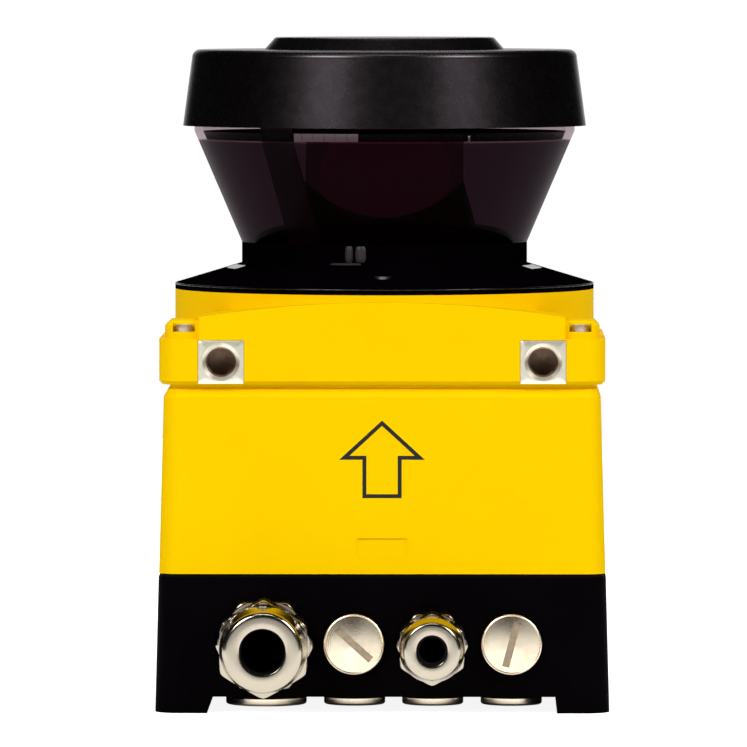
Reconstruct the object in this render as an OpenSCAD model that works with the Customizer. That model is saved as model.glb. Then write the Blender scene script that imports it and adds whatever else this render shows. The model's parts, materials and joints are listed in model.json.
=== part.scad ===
// Safety laser scanner: a mirror spins under a tinted window on top of a yellow
// two-part housing, and a black cable box below carries the glands.
// The flat rear face looks towards -Y, and the feet stand on Z = 0.

/* [Overall] */
// Width over the feet of the cable box
overall_w = 102; // [98:1:106]
// Depth of the feet from the rear edge to the nose
overall_d = 105; // [102:1:112]
// Radius of the upright rear corners at the feet
rear_corner_r = 5.5; // [5.2:0.1:6.5]
// Distance of the mirror axis from the rear edge of the feet
axis_from_rear = 52.5; // [51.5:0.5:53.5]
// Wall of the moulded housings
wall = 3; // [2.6:0.1:3.2]

/* [Outline of each level, drawn in from the feet] */
// Draft of the cable box at its top edge
box_draft = 0.8; // [0.4:0.1:1.2]
// Lower housing at its bottom edge
lower_bottom_inset = 0.9; // [0.6:0.1:1.4]
// Lower housing below its top chamfer
lower_top_inset = 2; // [1.5:0.1:2.3]
// Both housings at the parting groove
groove_inset = 3; // [2.6:0.1:3.2]
// Flange of the upper housing
flange_inset = 1; // [0.6:0.1:1.3]
// Corner blocks above the flange
shoulder_inset = 2.3; // [1.8:0.1:2.6]

/* [Heights] */
// Feet below the cable box floor
foot_h = 3.7; // [3.4:0.1:4.5]
// Cable box above its feet
box_h = 26.7; // [26:0.1:30]
// Flat seal between the cable box and the lower housing
box_seal_t = 0.8; // [0.6:0.1:1.2]
// Lower housing
lower_h = 41.4; // [40:0.2:48]
// Flat seal in the parting groove
groove_seal_t = 1; // [0.6:0.1:1.4]
// Flange of the upper housing
flange_h = 10.2; // [10.2:0.1:12]
// Corner blocks above the flange
shoulder_h = 4.1; // [3.9:0.1:5]
// Round tower above the flange
tower_h = 9.7; // [9.4:0.1:11]
// Upright skirt of the collar
collar_skirt_h = 1.3; // [1:0.1:2]
// Cone of the collar
collar_cone_h = 4.6; // [4.4:0.1:5.2]
// Neck of the collar
neck_h = 4.8; // [4.4:0.1:5.4]
// Slanted wall of the window
window_h = 25.4; // [24.8:0.2:28]
// Window rim left open under the cap
cap_gap = 1.2; // [0.8:0.1:1.6]
// Cap without its raised disc
cap_h = 17.4; // [17:0.2:20]
// Raised disc on the cap
disc_h = 2.8; // [2:0.1:3.4]

/* [Head] */
// How far the tower and the collar stand in from the sides of the feet
tower_inset = 3; // [2.6:0.1:3.6]
// Radius of the collar neck and the foot of the window
neck_r = 32.7; // [32.5:0.1:33.2]
// Radius of the window at its rim
window_top_r = 43.6; // [43.2:0.1:44]
// Thickness of the window, measured level
window_t = 2; // [1.6:0.1:2.2]
// How far the cap stands past the window rim, at its lower edge
cap_overhang = 2.6; // [2.4:0.1:3.4]
// Draft of the cap wall
cap_draft = 2.1; // [1.6:0.1:2.4]
// Rounding of the cap's upper edge
cap_edge_r = 1.8; // [1.2:0.1:2.2]
// Radius of the raised disc at its foot
disc_r = 27.5; // [26:0.5:30]
// Distance of the collar screws in from the collar's edge
collar_screw_inset = 9; // [8.9:0.1:9.2]

/* [Mirror drive] */
// Radius of the fixed dome below the mirror
dome_r = 29.9; // [29.6:0.1:30]
// Radius of the turning mirror carrier at its foot
carrier_r = 21; // [20.8:0.1:21.2]
// Radius of the mirror carrier at its shoulder
carrier_top_r = 18.1; // [17.6:0.1:18.4]
// Width of the mirror
mirror_w = 36.2; // [35:0.2:36.4]
// Thickness of the mirror
mirror_t = 2; // [1.6:0.1:2.4]
// Height of the mirror's lower edge above the window foot
mirror_low = 5.8; // [5.6:0.1:6.4]
// Height of the mirror from lower to upper edge, seen from the side
mirror_rise = 17.5; // [16:0.5:18]
// Radius of the motor shaft
shaft_r = 2.5; // [2.4:0.1:2.6]
// Outer radius of the shaft bearings
bearing_r = 6.5; // [6.5:0.1:6.8]
// Width of a shaft bearing
bearing_w = 4; // [3.8:0.1:4.4]
// Number of balls in a bearing
ball_count = 7; // [6:1:7]
// Number of stator teeth
tooth_count = 9; // [6:1:9]

/* [Cable entries] */
// Reach of the large gland behind the box
gland_reach = 25; // [24:0.5:28]
// Height of the rear entries above the underside of the feet
entry_z = 15.6; // [15.4:0.1:16]
// Distance of the bottom entries from the rear edge of the feet
bottom_entry_from_rear = 13; // [13:0.1:14]
// Sideways place of the large entries
large_entry_x = -26.2; // [-26.4:0.1:-26]
// Sideways place of the inner blanking plug
inner_plug_x = -6.3; // [-6.5:0.1:-6]
// Sideways place of the small gland
small_entry_x = 11.3; // [11:0.1:11.6]
// Sideways place of the outer blanking plug
outer_plug_x = 29; // [28.6:0.1:29.2]
// Thread radius of the large entries
large_thread_r = 8; // [7.8:0.1:8]
// Thread radius of the small entries
small_thread_r = 6; // [5.8:0.1:6]
// Key width of the large gland
large_key_w = 19; // [18:0.2:19.4]
// Key width of the small gland
small_key_w = 14; // [13:0.2:14.4]
// Bore of the large gland nut
large_bore_r = 5.15; // [4.6:0.1:5.4]
// Bore of the small gland nut
small_bore_r = 3.45; // [3:0.1:3.7]
// Radius of a small plug head
plug_head_r = 6.9; // [6.6:0.1:7.1]

/* [Fixings] */
// Side of a metal mounting block
block_w = 10.4; // [10:0.1:11]
// Depth of a metal mounting block
block_d = 12; // [11:0.5:12]
// Distance of the rear mounting threads from the sides of the feet
mount_inset = 14.95; // [14.9:0.05:16]
// Distance of the side mounting threads from the rear edge of the feet
side_mount_from_rear = 32; // [30:1:40]
// Core radius of the mounting threads
mount_core_r = 3.4; // [3.2:0.1:3.6]
// Depth of the mounting threads
mount_depth = 9; // [8:0.5:10]

/* [Hidden] */
$fn = 96;

// Fits
fit = 0.05;          // running and thread fits, on the radius
play = 0.3;          // pieces that pass each other
over = 0.5;          // how far a cut runs past a face

// Colours
yellow = [0.96, 0.80, 0.02];
black = [0.08, 0.08, 0.09];
rubber = [0.14, 0.14, 0.15];
nickel = [0.80, 0.78, 0.74];
zinc = [0.85, 0.84, 0.80];
steel = [0.62, 0.63, 0.65];
brass = [0.78, 0.62, 0.28];
copper = [0.72, 0.42, 0.22];
board_green = [0.10, 0.32, 0.20];
tint = [0.24, 0.07, 0.13];

// Plan of the housing
foot_rear_y = (gland_reach - box_draft - overall_d) / 2;
foot_front_y = foot_rear_y + overall_d;
nose_y = foot_front_y - overall_w / 2;
axis_y = foot_rear_y + axis_from_rear;
tower_r = overall_w / 2 - tower_inset;
collar_screw_r = tower_r - collar_screw_inset;
cap_r = window_top_r + cap_overhang;
mount_spacing = overall_w - 2 * mount_inset;
function half_w(inset) = overall_w / 2 - inset;
function rear_at(inset) = foot_rear_y + inset;
function front_at(inset) = foot_front_y - inset;

// Levels from the ground up
z_box_floor = foot_h + wall;
z_box_top = foot_h + box_h;
z_lower = z_box_top + box_seal_t;
z_lower_floor = z_lower + wall;
z_lower_top = z_lower + lower_h;
z_flange = z_lower_top + groove_seal_t;
z_flange_top = z_flange + flange_h;
z_shoulder_top = z_flange_top + shoulder_h;
z_tower_top = z_flange_top + tower_h;
z_cone = z_tower_top + collar_skirt_h;
z_neck = z_cone + collar_cone_h;
z_window = z_neck + neck_h;
z_window_rim = z_window + window_h;
z_cap = z_window_rim + cap_gap;
z_cap_top = z_cap + cap_h;
z_top = z_cap_top + disc_h;
window_slope = (window_top_r - neck_r) / window_h;

// ---- shapes shared by the pieces ----

function arc_points(cx, cy, r, from, to, steps = 8) =
    [for (i = [0:steps]) let (a = from + (to - from) * i / steps)
        [cx + r * cos(a), cy + r * sin(a)]];

// Plan of the housing: flat rear with rounded corners, half-round nose
module d_plan(inset) {
    hw = half_w(inset);
    rear = rear_at(inset);
    r = max(rear_corner_r - inset, 0);
    translate([0, nose_y]) intersection() {
        circle(r = hw);
        translate([-hw, -over]) square([2 * hw, hw + over]);
    }
    translate([-hw, rear + r]) square([2 * hw, nose_y - rear - r]);
    if (r > 0.2) {
        translate([r - hw, rear]) square([2 * (hw - r), nose_y - rear]);
        for (s = [-1, 1]) translate([s * (hw - r), rear + r]) circle(r = r);
    }
}

module d_plate(inset, z0, z1) {
    translate([0, 0, z0]) linear_extrude(z1 - z0) d_plan(inset);
}

// Flat seal or frame that follows the plan
module d_ring(outer_inset, inner_inset, z0, z1) {
    translate([0, 0, z0]) linear_extrude(z1 - z0) difference() {
        d_plan(outer_inset);
        d_plan(inner_inset);
    }
}

// Housing block whose inset changes evenly from bottom to top
module d_block(z0, z1, inset0, inset1) {
    cx = overall_w / 2 - rear_corner_r;
    cy = foot_rear_y + rear_corner_r;
    h = z1 - z0;
    intersection() {
        translate([0, nose_y, z0]) cylinder(r1 = half_w(inset0), r2 = half_w(inset1), h = h);
        bar(0, nose_y - over, z0 - over, [overall_w, overall_w / 2 + over, h + 2 * over]);
    }
    for (s = [-1, 1]) translate([s * cx, cy, z0])
        cylinder(r1 = rear_corner_r - inset0, r2 = rear_corner_r - inset1, h = h);
    translate([0, nose_y, 0]) rotate([90, 0, 0]) linear_extrude(nose_y - cy)
        polygon([[-half_w(inset0), z0], [half_w(inset0), z0],
                 [half_w(inset1), z1], [-half_w(inset1), z1]]);
    translate([-cx, 0, 0]) rotate([90, 0, 90]) linear_extrude(2 * cx)
        polygon([[rear_at(inset0), z0], [nose_y, z0], [nose_y, z1], [rear_at(inset1), z1]]);
}

module on_axis(z = 0) {
    translate([0, axis_y, z]) children();
}

// Plain ring about the mirror axis
module axis_ring(r_in, r_out, z0, z1) {
    on_axis(z0) rotate_extrude() translate([r_in, 0]) square([r_out - r_in, z1 - z0]);
}

// Box given by its middle in X and its lowest corner in Y and Z
module bar(x, y0, z0, size) {
    translate([x - size[0] / 2, y0, z0]) cube(size);
}

// Cylinder head screw, standing up, with the underside of its head at Z = 0
module head_screw(head_r, head_h, shank_r, shank_l) {
    difference() {
        union() {
            cylinder(r = head_r, h = head_h);
            translate([0, 0, -shank_l]) cylinder(r = shank_r, h = shank_l + head_h / 4);
        }
        translate([0, 0, head_h * 0.45]) cylinder(r = head_r * 0.55, h = head_h, $fn = 6);
    }
}

// ---- cable box ----

post_r = 4.5;              // screw posts in both housings
box_screw_r = 2;
box_screw_head_r = 3.5;
box_screw_head_h = 3;
box_screw_seat = foot_h + 0.4;
box_screw_grip = 7;        // thread in the lower housing
box_screw_places = [for (s = [-1, 1]) each [
    [s * half_w(7.4), rear_at(12.4)], [s * half_w(9.5), nose_y + 16.4]]];
foot_w = 11.8;
entry_seat_y = rear_at(box_draft);
bottom_entry_y = foot_rear_y + bottom_entry_from_rear;
entry_thread_l = wall + 1.1;   // thread of the rear pieces, from the seat inwards
bottom_thread_l = wall + 0.8;
seal_t = 0.8;              // seals under the entry pieces
small_rear_entries = [inner_plug_x, small_entry_x, outer_plug_x];
seat_play = 0.4;           // spot face round a gland or plug

module small_entry_holes(extra, length) {
    for (x = small_rear_entries) translate([x, 0, 0])
        cylinder(r = small_thread_r + extra, h = length);
}

module rear_entry() {
    translate([0, entry_seat_y, entry_z]) rotate([90, 0, 0]) children();
}

module bottom_entry() {
    translate([0, bottom_entry_y, foot_h]) mirror([0, 0, 1]) children();
}

module system_plug_housing() color(black) {
    key_r = large_key_w / sqrt(3);
    difference() {
        union() {
            difference() {
                d_block(0, z_box_top, 0, box_draft);
                bar(0, foot_rear_y - over, -over,
                    [overall_w - 2 * foot_w, overall_d + 2 * over, foot_h + over]);
                d_plate(box_draft + wall, z_box_floor, z_box_top + over);
            }
            for (p = box_screw_places) translate([p[0], p[1], foot_h + 1])
                cylinder(r = post_r, h = z_box_top - foot_h - 1);
            for (p = plug_post_places) translate([p[0], p[1], z_box_floor - 1])
                cylinder(r = plug_post_r, h = plug_post_h + 1);
        }
        rear_entry() translate([0, 0, -wall - over]) {
            small_entry_holes(fit, wall + 2 * over);
            translate([large_entry_x, 0, 0]) cylinder(r = large_thread_r + fit, h = wall + 2 * over);
        }
        rear_entry() {
            small_entry_holes(plug_head_r - small_thread_r + seat_play, 3);
            translate([small_entry_x, 0, 0])
                cylinder(r = small_key_w / sqrt(3) + seat_play, h = 3);
            translate([large_entry_x, 0, 0]) cylinder(r = key_r + seat_play, h = 3);
        }
        bottom_entry() translate([0, 0, -wall - over]) {
            small_entry_holes(fit, wall + 2 * over);
            translate([large_entry_x, 0, 0]) cylinder(r = large_thread_r + fit, h = wall + 2 * over);
        }
        for (p = box_screw_places) translate([p[0], p[1], 0]) {
            translate([0, 0, -over]) cylinder(r = box_screw_head_r + play, h = box_screw_seat + over);
            cylinder(r = box_screw_r + 0.15, h = z_box_top + over);
        }
        for (p = plug_post_places) translate([p[0], p[1], z_box_floor + plug_post_h - board_screw_l])
            cylinder(r = board_screw_r + fit, h = board_screw_l + over);
    }
}

module system_plug_screws() color(steel) {
    for (p = box_screw_places) translate([p[0], p[1], box_screw_seat]) mirror([0, 0, 1])
        head_screw(box_screw_head_r, box_screw_head_h, box_screw_r,
                   z_lower - box_screw_seat + box_screw_grip);
}

// Connector between the cable box and the lower housing
plug_y = rear_at(62.4);
plug_post_r = 3;
plug_post_h = 11;
plug_post_places = [for (s = [-1, 1], y = [rear_at(32.4), front_at(30.6)]) [s * half_w(25), y]];
plug_board_size = [overall_w - 42, overall_d - 51];
board_t = 1.6;
board_screw_r = 1.2;
board_screw_l = 5;
board_screw_head_r = 2.3;
board_screw_head_h = 2;
z_plug_board = z_box_floor + plug_post_h;
header_w = 36;
header_t = 6;
socket_w = 42;
socket_t = 12;
io_post_h = 6;
z_io_board = z_lower_floor + io_post_h;
z_header_tip = z_io_board - 2;

module plug_board() color(board_green) {
    difference() {
        union() {
            bar(0, rear_at(26.4), z_plug_board, [plug_board_size[0], plug_board_size[1], board_t]);
            bar(0, plug_y - header_t / 2, z_plug_board, [header_w, header_t, z_header_tip - z_plug_board]);
        }
        for (p = plug_post_places) translate([p[0], p[1], z_plug_board - over])
            cylinder(r = board_screw_r + 0.15, h = board_t + 2 * over);
    }
}

module terminal_block() color([0.2, 0.45, 0.25]) {
    block = [44, 9, 7];
    poles = 8;
    pitch = block[0] / poles;
    difference() {
        bar(0, -11, z_plug_board + board_t, block);
        for (i = [0:poles - 1]) let (x = (i + 0.5) * pitch - block[0] / 2) {
            translate([x, -6.5, z_plug_board + board_t + 3]) cylinder(r = 1.6, h = block[2]);
            bar(x, -11 - over, z_plug_board + board_t + 1.2, [3, 3, 3]);
        }
    }
}

// Head of a blanking plug with its thread; Z points away from the box
module blanking_plug(thread_r, head_r, thread_l, slot_turn) {
    head_h = 2.6;
    edge = 0.6;
    groove_w = 1.6;
    groove_l = 1.5 * head_r;   // the groove stays inside the face
    groove_depth = 1.1;
    difference() {
        rotate_extrude() polygon([
            [0, -thread_l], [thread_r - fit, -thread_l], [thread_r - fit, seal_t],
            [head_r, seal_t], [head_r, head_h - edge], [head_r - edge, head_h], [0, head_h]]);
        rotate([0, 0, slot_turn]) translate([-groove_l / 2, -groove_w / 2, head_h - groove_depth])
            cube([groove_l, groove_w, groove_depth + over]);
    }
}

module small_blanking_plugs() color(nickel) {
    rear_entry() {
        translate([inner_plug_x, 0, 0])
            blanking_plug(small_thread_r, plug_head_r, entry_thread_l, -42);
        translate([outer_plug_x, 0, 0])
            blanking_plug(small_thread_r, plug_head_r, entry_thread_l, 75);
    }
    bottom_entry() for (x = small_rear_entries) translate([x, 0, 0])
        blanking_plug(small_thread_r, plug_head_r, bottom_thread_l, 30);
}

module large_blanking_plug() color(nickel)
    bottom_entry() translate([large_entry_x, 0, 0])
        blanking_plug(large_thread_r, large_key_w / 2 - 0.4, bottom_thread_l, 0);

module entry_seal(thread_r, width) {
    difference() {
        cylinder(r = thread_r + width, h = seal_t);
        translate([0, 0, -over]) cylinder(r = thread_r, h = seal_t + 2 * over);
    }
}

module entry_seals() color(rubber) {
    small_seal_w = plug_head_r - small_thread_r - 0.2;
    large_seal_w = large_key_w / 2 - large_thread_r - 0.7;
    rear_entry() {
        for (x = small_rear_entries) translate([x, 0, 0]) entry_seal(small_thread_r, small_seal_w);
        translate([large_entry_x, 0, 0]) entry_seal(large_thread_r, large_seal_w);
    }
    bottom_entry() {
        for (x = small_rear_entries) translate([x, 0, 0]) entry_seal(small_thread_r, small_seal_w);
        translate([large_entry_x, 0, 0]) entry_seal(large_thread_r, large_seal_w);
    }
}

// ---- cable glands; Z points away from the box ----

flange_t = 6.6;             // six-sided part of the gland body
spigot_l = 9;          // outer thread of the gland body
gland_wall = 1.5;
sleeve_wall = 1.6;
nut_lip = 1.4;         // front wall of the nut, which holds the sleeve in

// Six-sided block with its corners turned off
module hex_block(key_w, h) {
    corner = 0.6;
    corner_r = key_w / sqrt(3);
    intersection() {
        cylinder(r = corner_r, h = h, $fn = 6);
        rotate_extrude() polygon([
            [0, 0], [corner_r - corner, 0], [corner_r, corner], [corner_r, h - corner],
            [corner_r - corner, h], [0, h]]);
    }
}

module gland_body(thread_r, key_w) {
    bore_r = thread_r - gland_wall;
    difference() {
        union() {
            translate([0, 0, -entry_thread_l])
                cylinder(r = thread_r - fit, h = entry_thread_l + seal_t + 1);
            translate([0, 0, seal_t]) hex_block(key_w, flange_t);
            translate([0, 0, seal_t]) cylinder(r = thread_r - fit, h = flange_t + spigot_l);
        }
        translate([0, 0, -entry_thread_l - over])
            cylinder(r = bore_r, h = entry_thread_l + seal_t + flange_t + spigot_l + 2 * over);
    }
}

module gland_sleeve(thread_r, reach) {
    outer_r = thread_r - gland_wall - fit;
    difference() {
        cylinder(r = outer_r, h = reach);
        translate([0, 0, -over]) cylinder(r = outer_r - sleeve_wall, h = reach + 2 * over);
    }
}

module gland_nut(thread_r, key_w, bore_r, reach) {
    z0 = seal_t + flange_t + 0.2;
    hex_l = 10.5;
    dome_r = key_w / 2 - 0.1;
    edge = key_w / 12;         // rounding of the nut's front
    difference() {
        union() {
            translate([0, 0, z0]) rotate([0, 0, 30]) hex_block(key_w, hex_l);
            rotate_extrude() polygon(concat(
                [[0, z0 + 1], [thread_r + 0.8, z0 + 1], [thread_r + 0.8, z0 + hex_l - 0.4],
                 [dome_r, z0 + hex_l - 0.4]],
                arc_points(dome_r - edge, reach - edge, edge, 0, 90),
                [[0, reach]]));
        }
        translate([0, 0, z0 - over]) cylinder(r = thread_r, h = reach - nut_lip - z0 + over);
        translate([0, 0, z0]) cylinder(r = bore_r, h = reach);
    }
}

small_reach = gland_reach - 4;

module at_large() {
    rear_entry() translate([large_entry_x, 0, 0]) children();
}

module at_small() {
    rear_entry() translate([small_entry_x, 0, 0]) children();
}

module large_gland_body() color(nickel) at_large() gland_body(large_thread_r, large_key_w);
module small_gland_body() color(nickel) at_small() gland_body(small_thread_r, small_key_w);
module large_gland_sleeve() color(rubber)
    at_large() gland_sleeve(large_thread_r, gland_reach - nut_lip);
module small_gland_sleeve() color(rubber)
    at_small() gland_sleeve(small_thread_r, small_reach - nut_lip);
module large_gland_nut() color(nickel)
    at_large() gland_nut(large_thread_r, large_key_w, large_bore_r, gland_reach);
module small_gland_nut() color(nickel)
    at_small() gland_nut(small_thread_r, small_key_w, small_bore_r, small_reach);

// ---- lower housing ----

seal_inset = 0.6;          // box seal, in from the box edge
seal_w = 2;
chamfer_h = 1.8;           // chamfer at the parting groove
housing_screw_r = 1.3;
housing_screw_head_r = 1.9;
housing_screw_head_h = 2.7;
housing_screw_grip = 10;   // thread in the lower housing
rear_screw_x = half_w(6.6);
rear_screw_y = rear_at(flange_inset) + 5;
front_screw_circle = tower_r - 6.56;
front_screw_turn = 48.4;
front_screw_x = front_screw_circle * cos(front_screw_turn);
front_screw_y = axis_y + front_screw_circle * sin(front_screw_turn);
ledge_t = 4;               // ring in the upper housing that carries the optics
front_screw_seat = z_flange_top - housing_screw_head_h - 0.1;
rear_screw_seat = z_flange_top + 0.4;
board_inset = 16;
board_post_places = [for (s = [-1, 1], y = [rear_at(24.4), front_screw_y - 13.1])
    [s * half_w(23), y]];
z_main_board = z_io_board + board_t + 16;
port_z = z_lower + 19;
port_r = 5;
port_cap_r = 7.5;
port_cap_t = 4;
port_seat_y = front_at(lower_bottom_inset) - port_cap_t - 0.6;
port_boss_d = 4;
mark_t = 0.3;

module housing_posts(z0, z1) {
    for (s = [-1, 1]) {
        translate([s * rear_screw_x, rear_screw_y, z0]) cylinder(r = 3.4, h = z1 - z0);
        translate([s * front_screw_x, front_screw_y, z0]) cylinder(r = post_r, h = z1 - z0);
    }
}

module housing_screw_holes(r, z0, z1) {
    for (s = [-1, 1]) {
        translate([s * rear_screw_x, rear_screw_y, z0]) cylinder(r = r, h = z1 - z0);
        translate([s * front_screw_x, front_screw_y, z0]) cylinder(r = r, h = z1 - z0);
    }
}

// Along +Y from the seat of the service port
module at_port() {
    translate([0, port_seat_y, port_z]) rotate([-90, 0, 0]) children();
}

module lower_housing() color(yellow) {
    z_chamfer = z_lower_top - chamfer_h;
    difference() {
        union() {
            difference() {
                union() {
                    d_block(z_lower, z_chamfer, lower_bottom_inset, lower_top_inset);
                    d_block(z_chamfer, z_lower_top, lower_top_inset, groove_inset);
                }
                d_plate(groove_inset + wall - 0.6, z_lower_floor, z_lower_top + over);
            }
            intersection() {
                d_plate(lower_top_inset + 1, z_lower_floor - 1, z_lower_top);
                union() {
                    housing_posts(z_lower_floor - 1, z_lower_top);
                    for (p = box_screw_places) translate([p[0], p[1], z_lower_floor - 1])
                        cylinder(r = post_r, h = box_screw_grip);
                    at_port() translate([0, 0, -port_boss_d])
                        cylinder(r = port_cap_r + 2.5, h = port_boss_d + port_cap_t);
                }
            }
            for (p = board_post_places) translate([p[0], p[1], z_lower_floor - 1])
                cylinder(r = plug_post_r, h = io_post_h + 1);
        }
        bar(0, plug_y - socket_t / 2 - play, z_lower - over,
            [socket_w + 2 * play, socket_t + 2 * play, wall + 2 * over]);
        housing_screw_holes(housing_screw_r + fit, z_lower_top - housing_screw_grip - 1, z_lower_top + over);
        for (p = box_screw_places) translate([p[0], p[1], z_lower - over])
            cylinder(r = box_screw_r + fit, h = box_screw_grip + 2 * over);
        for (p = board_post_places) translate([p[0], p[1], z_io_board - board_screw_l])
            cylinder(r = board_screw_r + fit, h = board_screw_l + over);
        at_port() {
            cylinder(r = port_cap_r + play, h = overall_d);
            translate([0, 0, -port_boss_d - over]) cylinder(r = port_r + fit, h = overall_d);
        }
        mark_inlay();
        label_recess();
    }
}

// Shallow moulded field low on the rear face
module label_recess() {
    field = [11.2, 3.8];
    z0 = z_lower + 4.2;
    intersection() {
        skin_layer(mark_t);
        bar(0, foot_rear_y - over, z0, [field[0], wall, field[1]]);
    }
}

// Outermost layer of the lower housing
module skin_layer(t) {
    z_chamfer = z_lower_top - chamfer_h;
    draft = (lower_top_inset - lower_bottom_inset) / (z_chamfer - z_lower);
    difference() {
        d_block(z_lower, z_chamfer, lower_bottom_inset, lower_top_inset);
        d_block(z_lower - over, z_chamfer + over,
                lower_bottom_inset + t - over * draft, lower_top_inset + t + over * draft);
    }
}

// Outlined arrow that shows which way up the scanner is mounted
module arrow_plan(grow) {
    head = 9.6;
    stem = 4.4;
    neck = 8.6;
    top = 17.4;
    offset(delta = grow) polygon([
        [-stem, 0], [stem, 0], [stem, neck], [head, neck], [0, top], [-head, neck], [-stem, neck]]);
}

module mark_inlay() {
    line = 0.9;
    z0 = z_lower + 17;
    intersection() {
        skin_layer(mark_t);
        translate([0, foot_rear_y + wall, z0]) rotate([90, 0, 0]) linear_extrude(wall + over)
            difference() {
                arrow_plan(0);
                arrow_plan(-line);
            }
    }
}

module rear_mark() color(black) mark_inlay();

module plug_gasket() color(rubber)
    difference() {
        d_ring(box_draft + seal_inset, box_draft + seal_inset + seal_w, z_box_top, z_lower);
        for (p = box_screw_places) translate([p[0], p[1], z_box_top - over])
            cylinder(r = box_screw_r + 0.15, h = box_seal_t + 2 * over);
    }

module io_board() color(board_green) {
    socket_bottom = z_box_top - 1;
    difference() {
        union() {
            d_plate(board_inset, z_io_board, z_io_board + board_t);
            bar(0, plug_y - socket_t / 2, socket_bottom, [socket_w, socket_t, z_io_board - socket_bottom]);
        }
        bar(0, plug_y - header_t / 2 - play, socket_bottom - over,
            [header_w + 2 * play, header_t + 2 * play, z_header_tip + 1 - socket_bottom + over]);
        for (p = board_post_places) translate([p[0], p[1], z_io_board - over])
            cylinder(r = board_screw_r + 0.15, h = board_t + 2 * over);
    }
}

module main_board() color(board_green) {
    chips = [[-14, 2, 14, 14, 1.6], [10, -4, 18, 12, 1.4], [12, 22, 10, 10, 2.2],
             [-12, 30, 12, 7, 1.4], [0, 42, 16, 5, 5]];
    difference() {
        union() {
            d_plate(board_inset, z_main_board, z_main_board + board_t);
            for (c = chips) bar(c[0], c[1] - c[3] / 2, z_main_board + board_t - 0.1, [c[2], c[3], c[4]]);
            for (x = [-30, -24], y = [8, 16]) translate([x, y, z_main_board + board_t - 0.1])
                cylinder(r = 2.4, h = 7);
        }
        for (p = board_post_places) translate([p[0], p[1], z_main_board - over])
            cylinder(r = board_screw_r + 0.15, h = board_t + 2 * over);
    }
}

// Six-sided pillars: a stud below goes through the lower board, the thread above takes a screw
module board_standoffs() color(brass) {
    z0 = z_io_board + board_t;
    for (p = board_post_places) translate([p[0], p[1], z0]) difference() {
        union() {
            cylinder(r = plug_post_r, h = z_main_board - z0, $fn = 6);
            translate([0, 0, -board_t - 4]) cylinder(r = board_screw_r, h = board_t + 5);
        }
        translate([0, 0, z_main_board - z0 - board_screw_l])
            cylinder(r = board_screw_r + fit, h = board_screw_l + over);
    }
}

module board_screws() color(steel) {
    for (p = board_post_places) translate([p[0], p[1], z_main_board + board_t])
        head_screw(board_screw_head_r, board_screw_head_h, board_screw_r, board_t + 4);
    for (p = plug_post_places) translate([p[0], p[1], z_plug_board + board_t])
        head_screw(board_screw_head_r, board_screw_head_h, board_screw_r, board_t + 4);
}

// Service socket with its pins, behind a screwed cap on the nose
module config_socket() color(nickel) at_port() {
    pin_circle = 2;
    difference() {
        translate([0, 0, -port_boss_d - 4]) cylinder(r = port_r, h = port_boss_d + 6);
        translate([0, 0, -2]) cylinder(r = port_r - 1, h = 6);
    }
    for (i = [0:3]) rotate([0, 0, 45 + 90 * i]) translate([pin_circle, 0, -2.5])
        cylinder(r = 0.5, h = 3.5);
}

module config_cap() color(black) at_port() difference() {
    rotate_extrude() polygon([
        [0, 2.3], [port_r + fit, 2.3], [port_r + fit, 0], [port_cap_r, 0],
        [port_cap_r, port_cap_t - 0.6], [port_cap_r - 0.6, port_cap_t], [0, port_cap_t]]);
    translate([-port_cap_r - over, -0.8, port_cap_t - 1]) cube([2 * (port_cap_r + over), 1.6, 2]);
}

module housing_gasket() color(rubber) difference() {
    d_ring(groove_inset + 0.4, groove_inset + 2.2, z_lower_top, z_flange);
    housing_screw_holes(housing_screw_r + 0.15, z_lower_top - over, z_flange + over);
}

// ---- upper housing ----

arch_half_w = half_w(10);  // arched rear slab: half width, and height at its ends and its middle
arch_low = 4.9;
arch_high = 8.2;
slab_d = 18;
tower_wall = 3;
ledge_bore_r = tower_r - 10;
edge_break = 0.8;          // chamfer under the flange
window_slot_w = 4.9;       // opening that shows the corner screw
window_slot_h = 1.9;
display_w = 24;
display_h = 6.4;
display_t = 1.6;
mount_z = z_flange + flange_h / 2;
block_h = min(block_w, flange_h - 0.4);
side_mount_y = foot_rear_y + side_mount_from_rear;
display_seat_y = front_at(flange_inset) - 2;
display_z = z_flange + 1.9;

module at_rear_mount(side) {
    translate([side * mount_spacing / 2, rear_at(flange_inset), mount_z]) rotate([90, 0, 0])
        children();
}

module at_side_mount(side) {
    translate([side * half_w(flange_inset), side_mount_y, mount_z]) rotate([0, side * 90, 0])
        children();
}

// Threaded metal block; its face lies at Z = 0 and its thread opens upwards
module mount_block() {
    chamfer = 0.75;
    difference() {
        translate([-block_w / 2, -block_h / 2, -block_d]) cube([block_w, block_h, block_d]);
        translate([0, 0, -mount_depth]) cylinder(r = mount_core_r, h = mount_depth + over);
        translate([0, 0, -chamfer])
            cylinder(r1 = mount_core_r, r2 = mount_core_r + chamfer + 0.001, h = chamfer + 0.001);
    }
}

module mount_pocket() {
    translate([-block_w / 2, -block_h / 2, -block_d]) cube([block_w, block_h, block_d + over]);
}

module side_block() rotate([0, 0, 90]) mount_block();
module side_pocket() rotate([0, 0, 90]) mount_pocket();

module rear_mount_left() color(zinc) at_rear_mount(-1) mount_block();
module rear_mount_right() color(zinc) at_rear_mount(1) mount_block();
module side_mount_left() color(zinc) at_side_mount(-1) side_block();
module side_mount_right() color(zinc) at_side_mount(1) side_block();

module corner_shoulders() {
    chamfer = 1.1;
    intersection() {
        union() {
            d_plate(shoulder_inset, z_flange_top - 1, z_shoulder_top - chamfer);
            d_block(z_shoulder_top - chamfer, z_shoulder_top, shoulder_inset, shoulder_inset + chamfer);
        }
        bar(0, foot_rear_y, z_flange_top - 1, [overall_w, slab_d, shoulder_h + 2]);
    }
}

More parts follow.
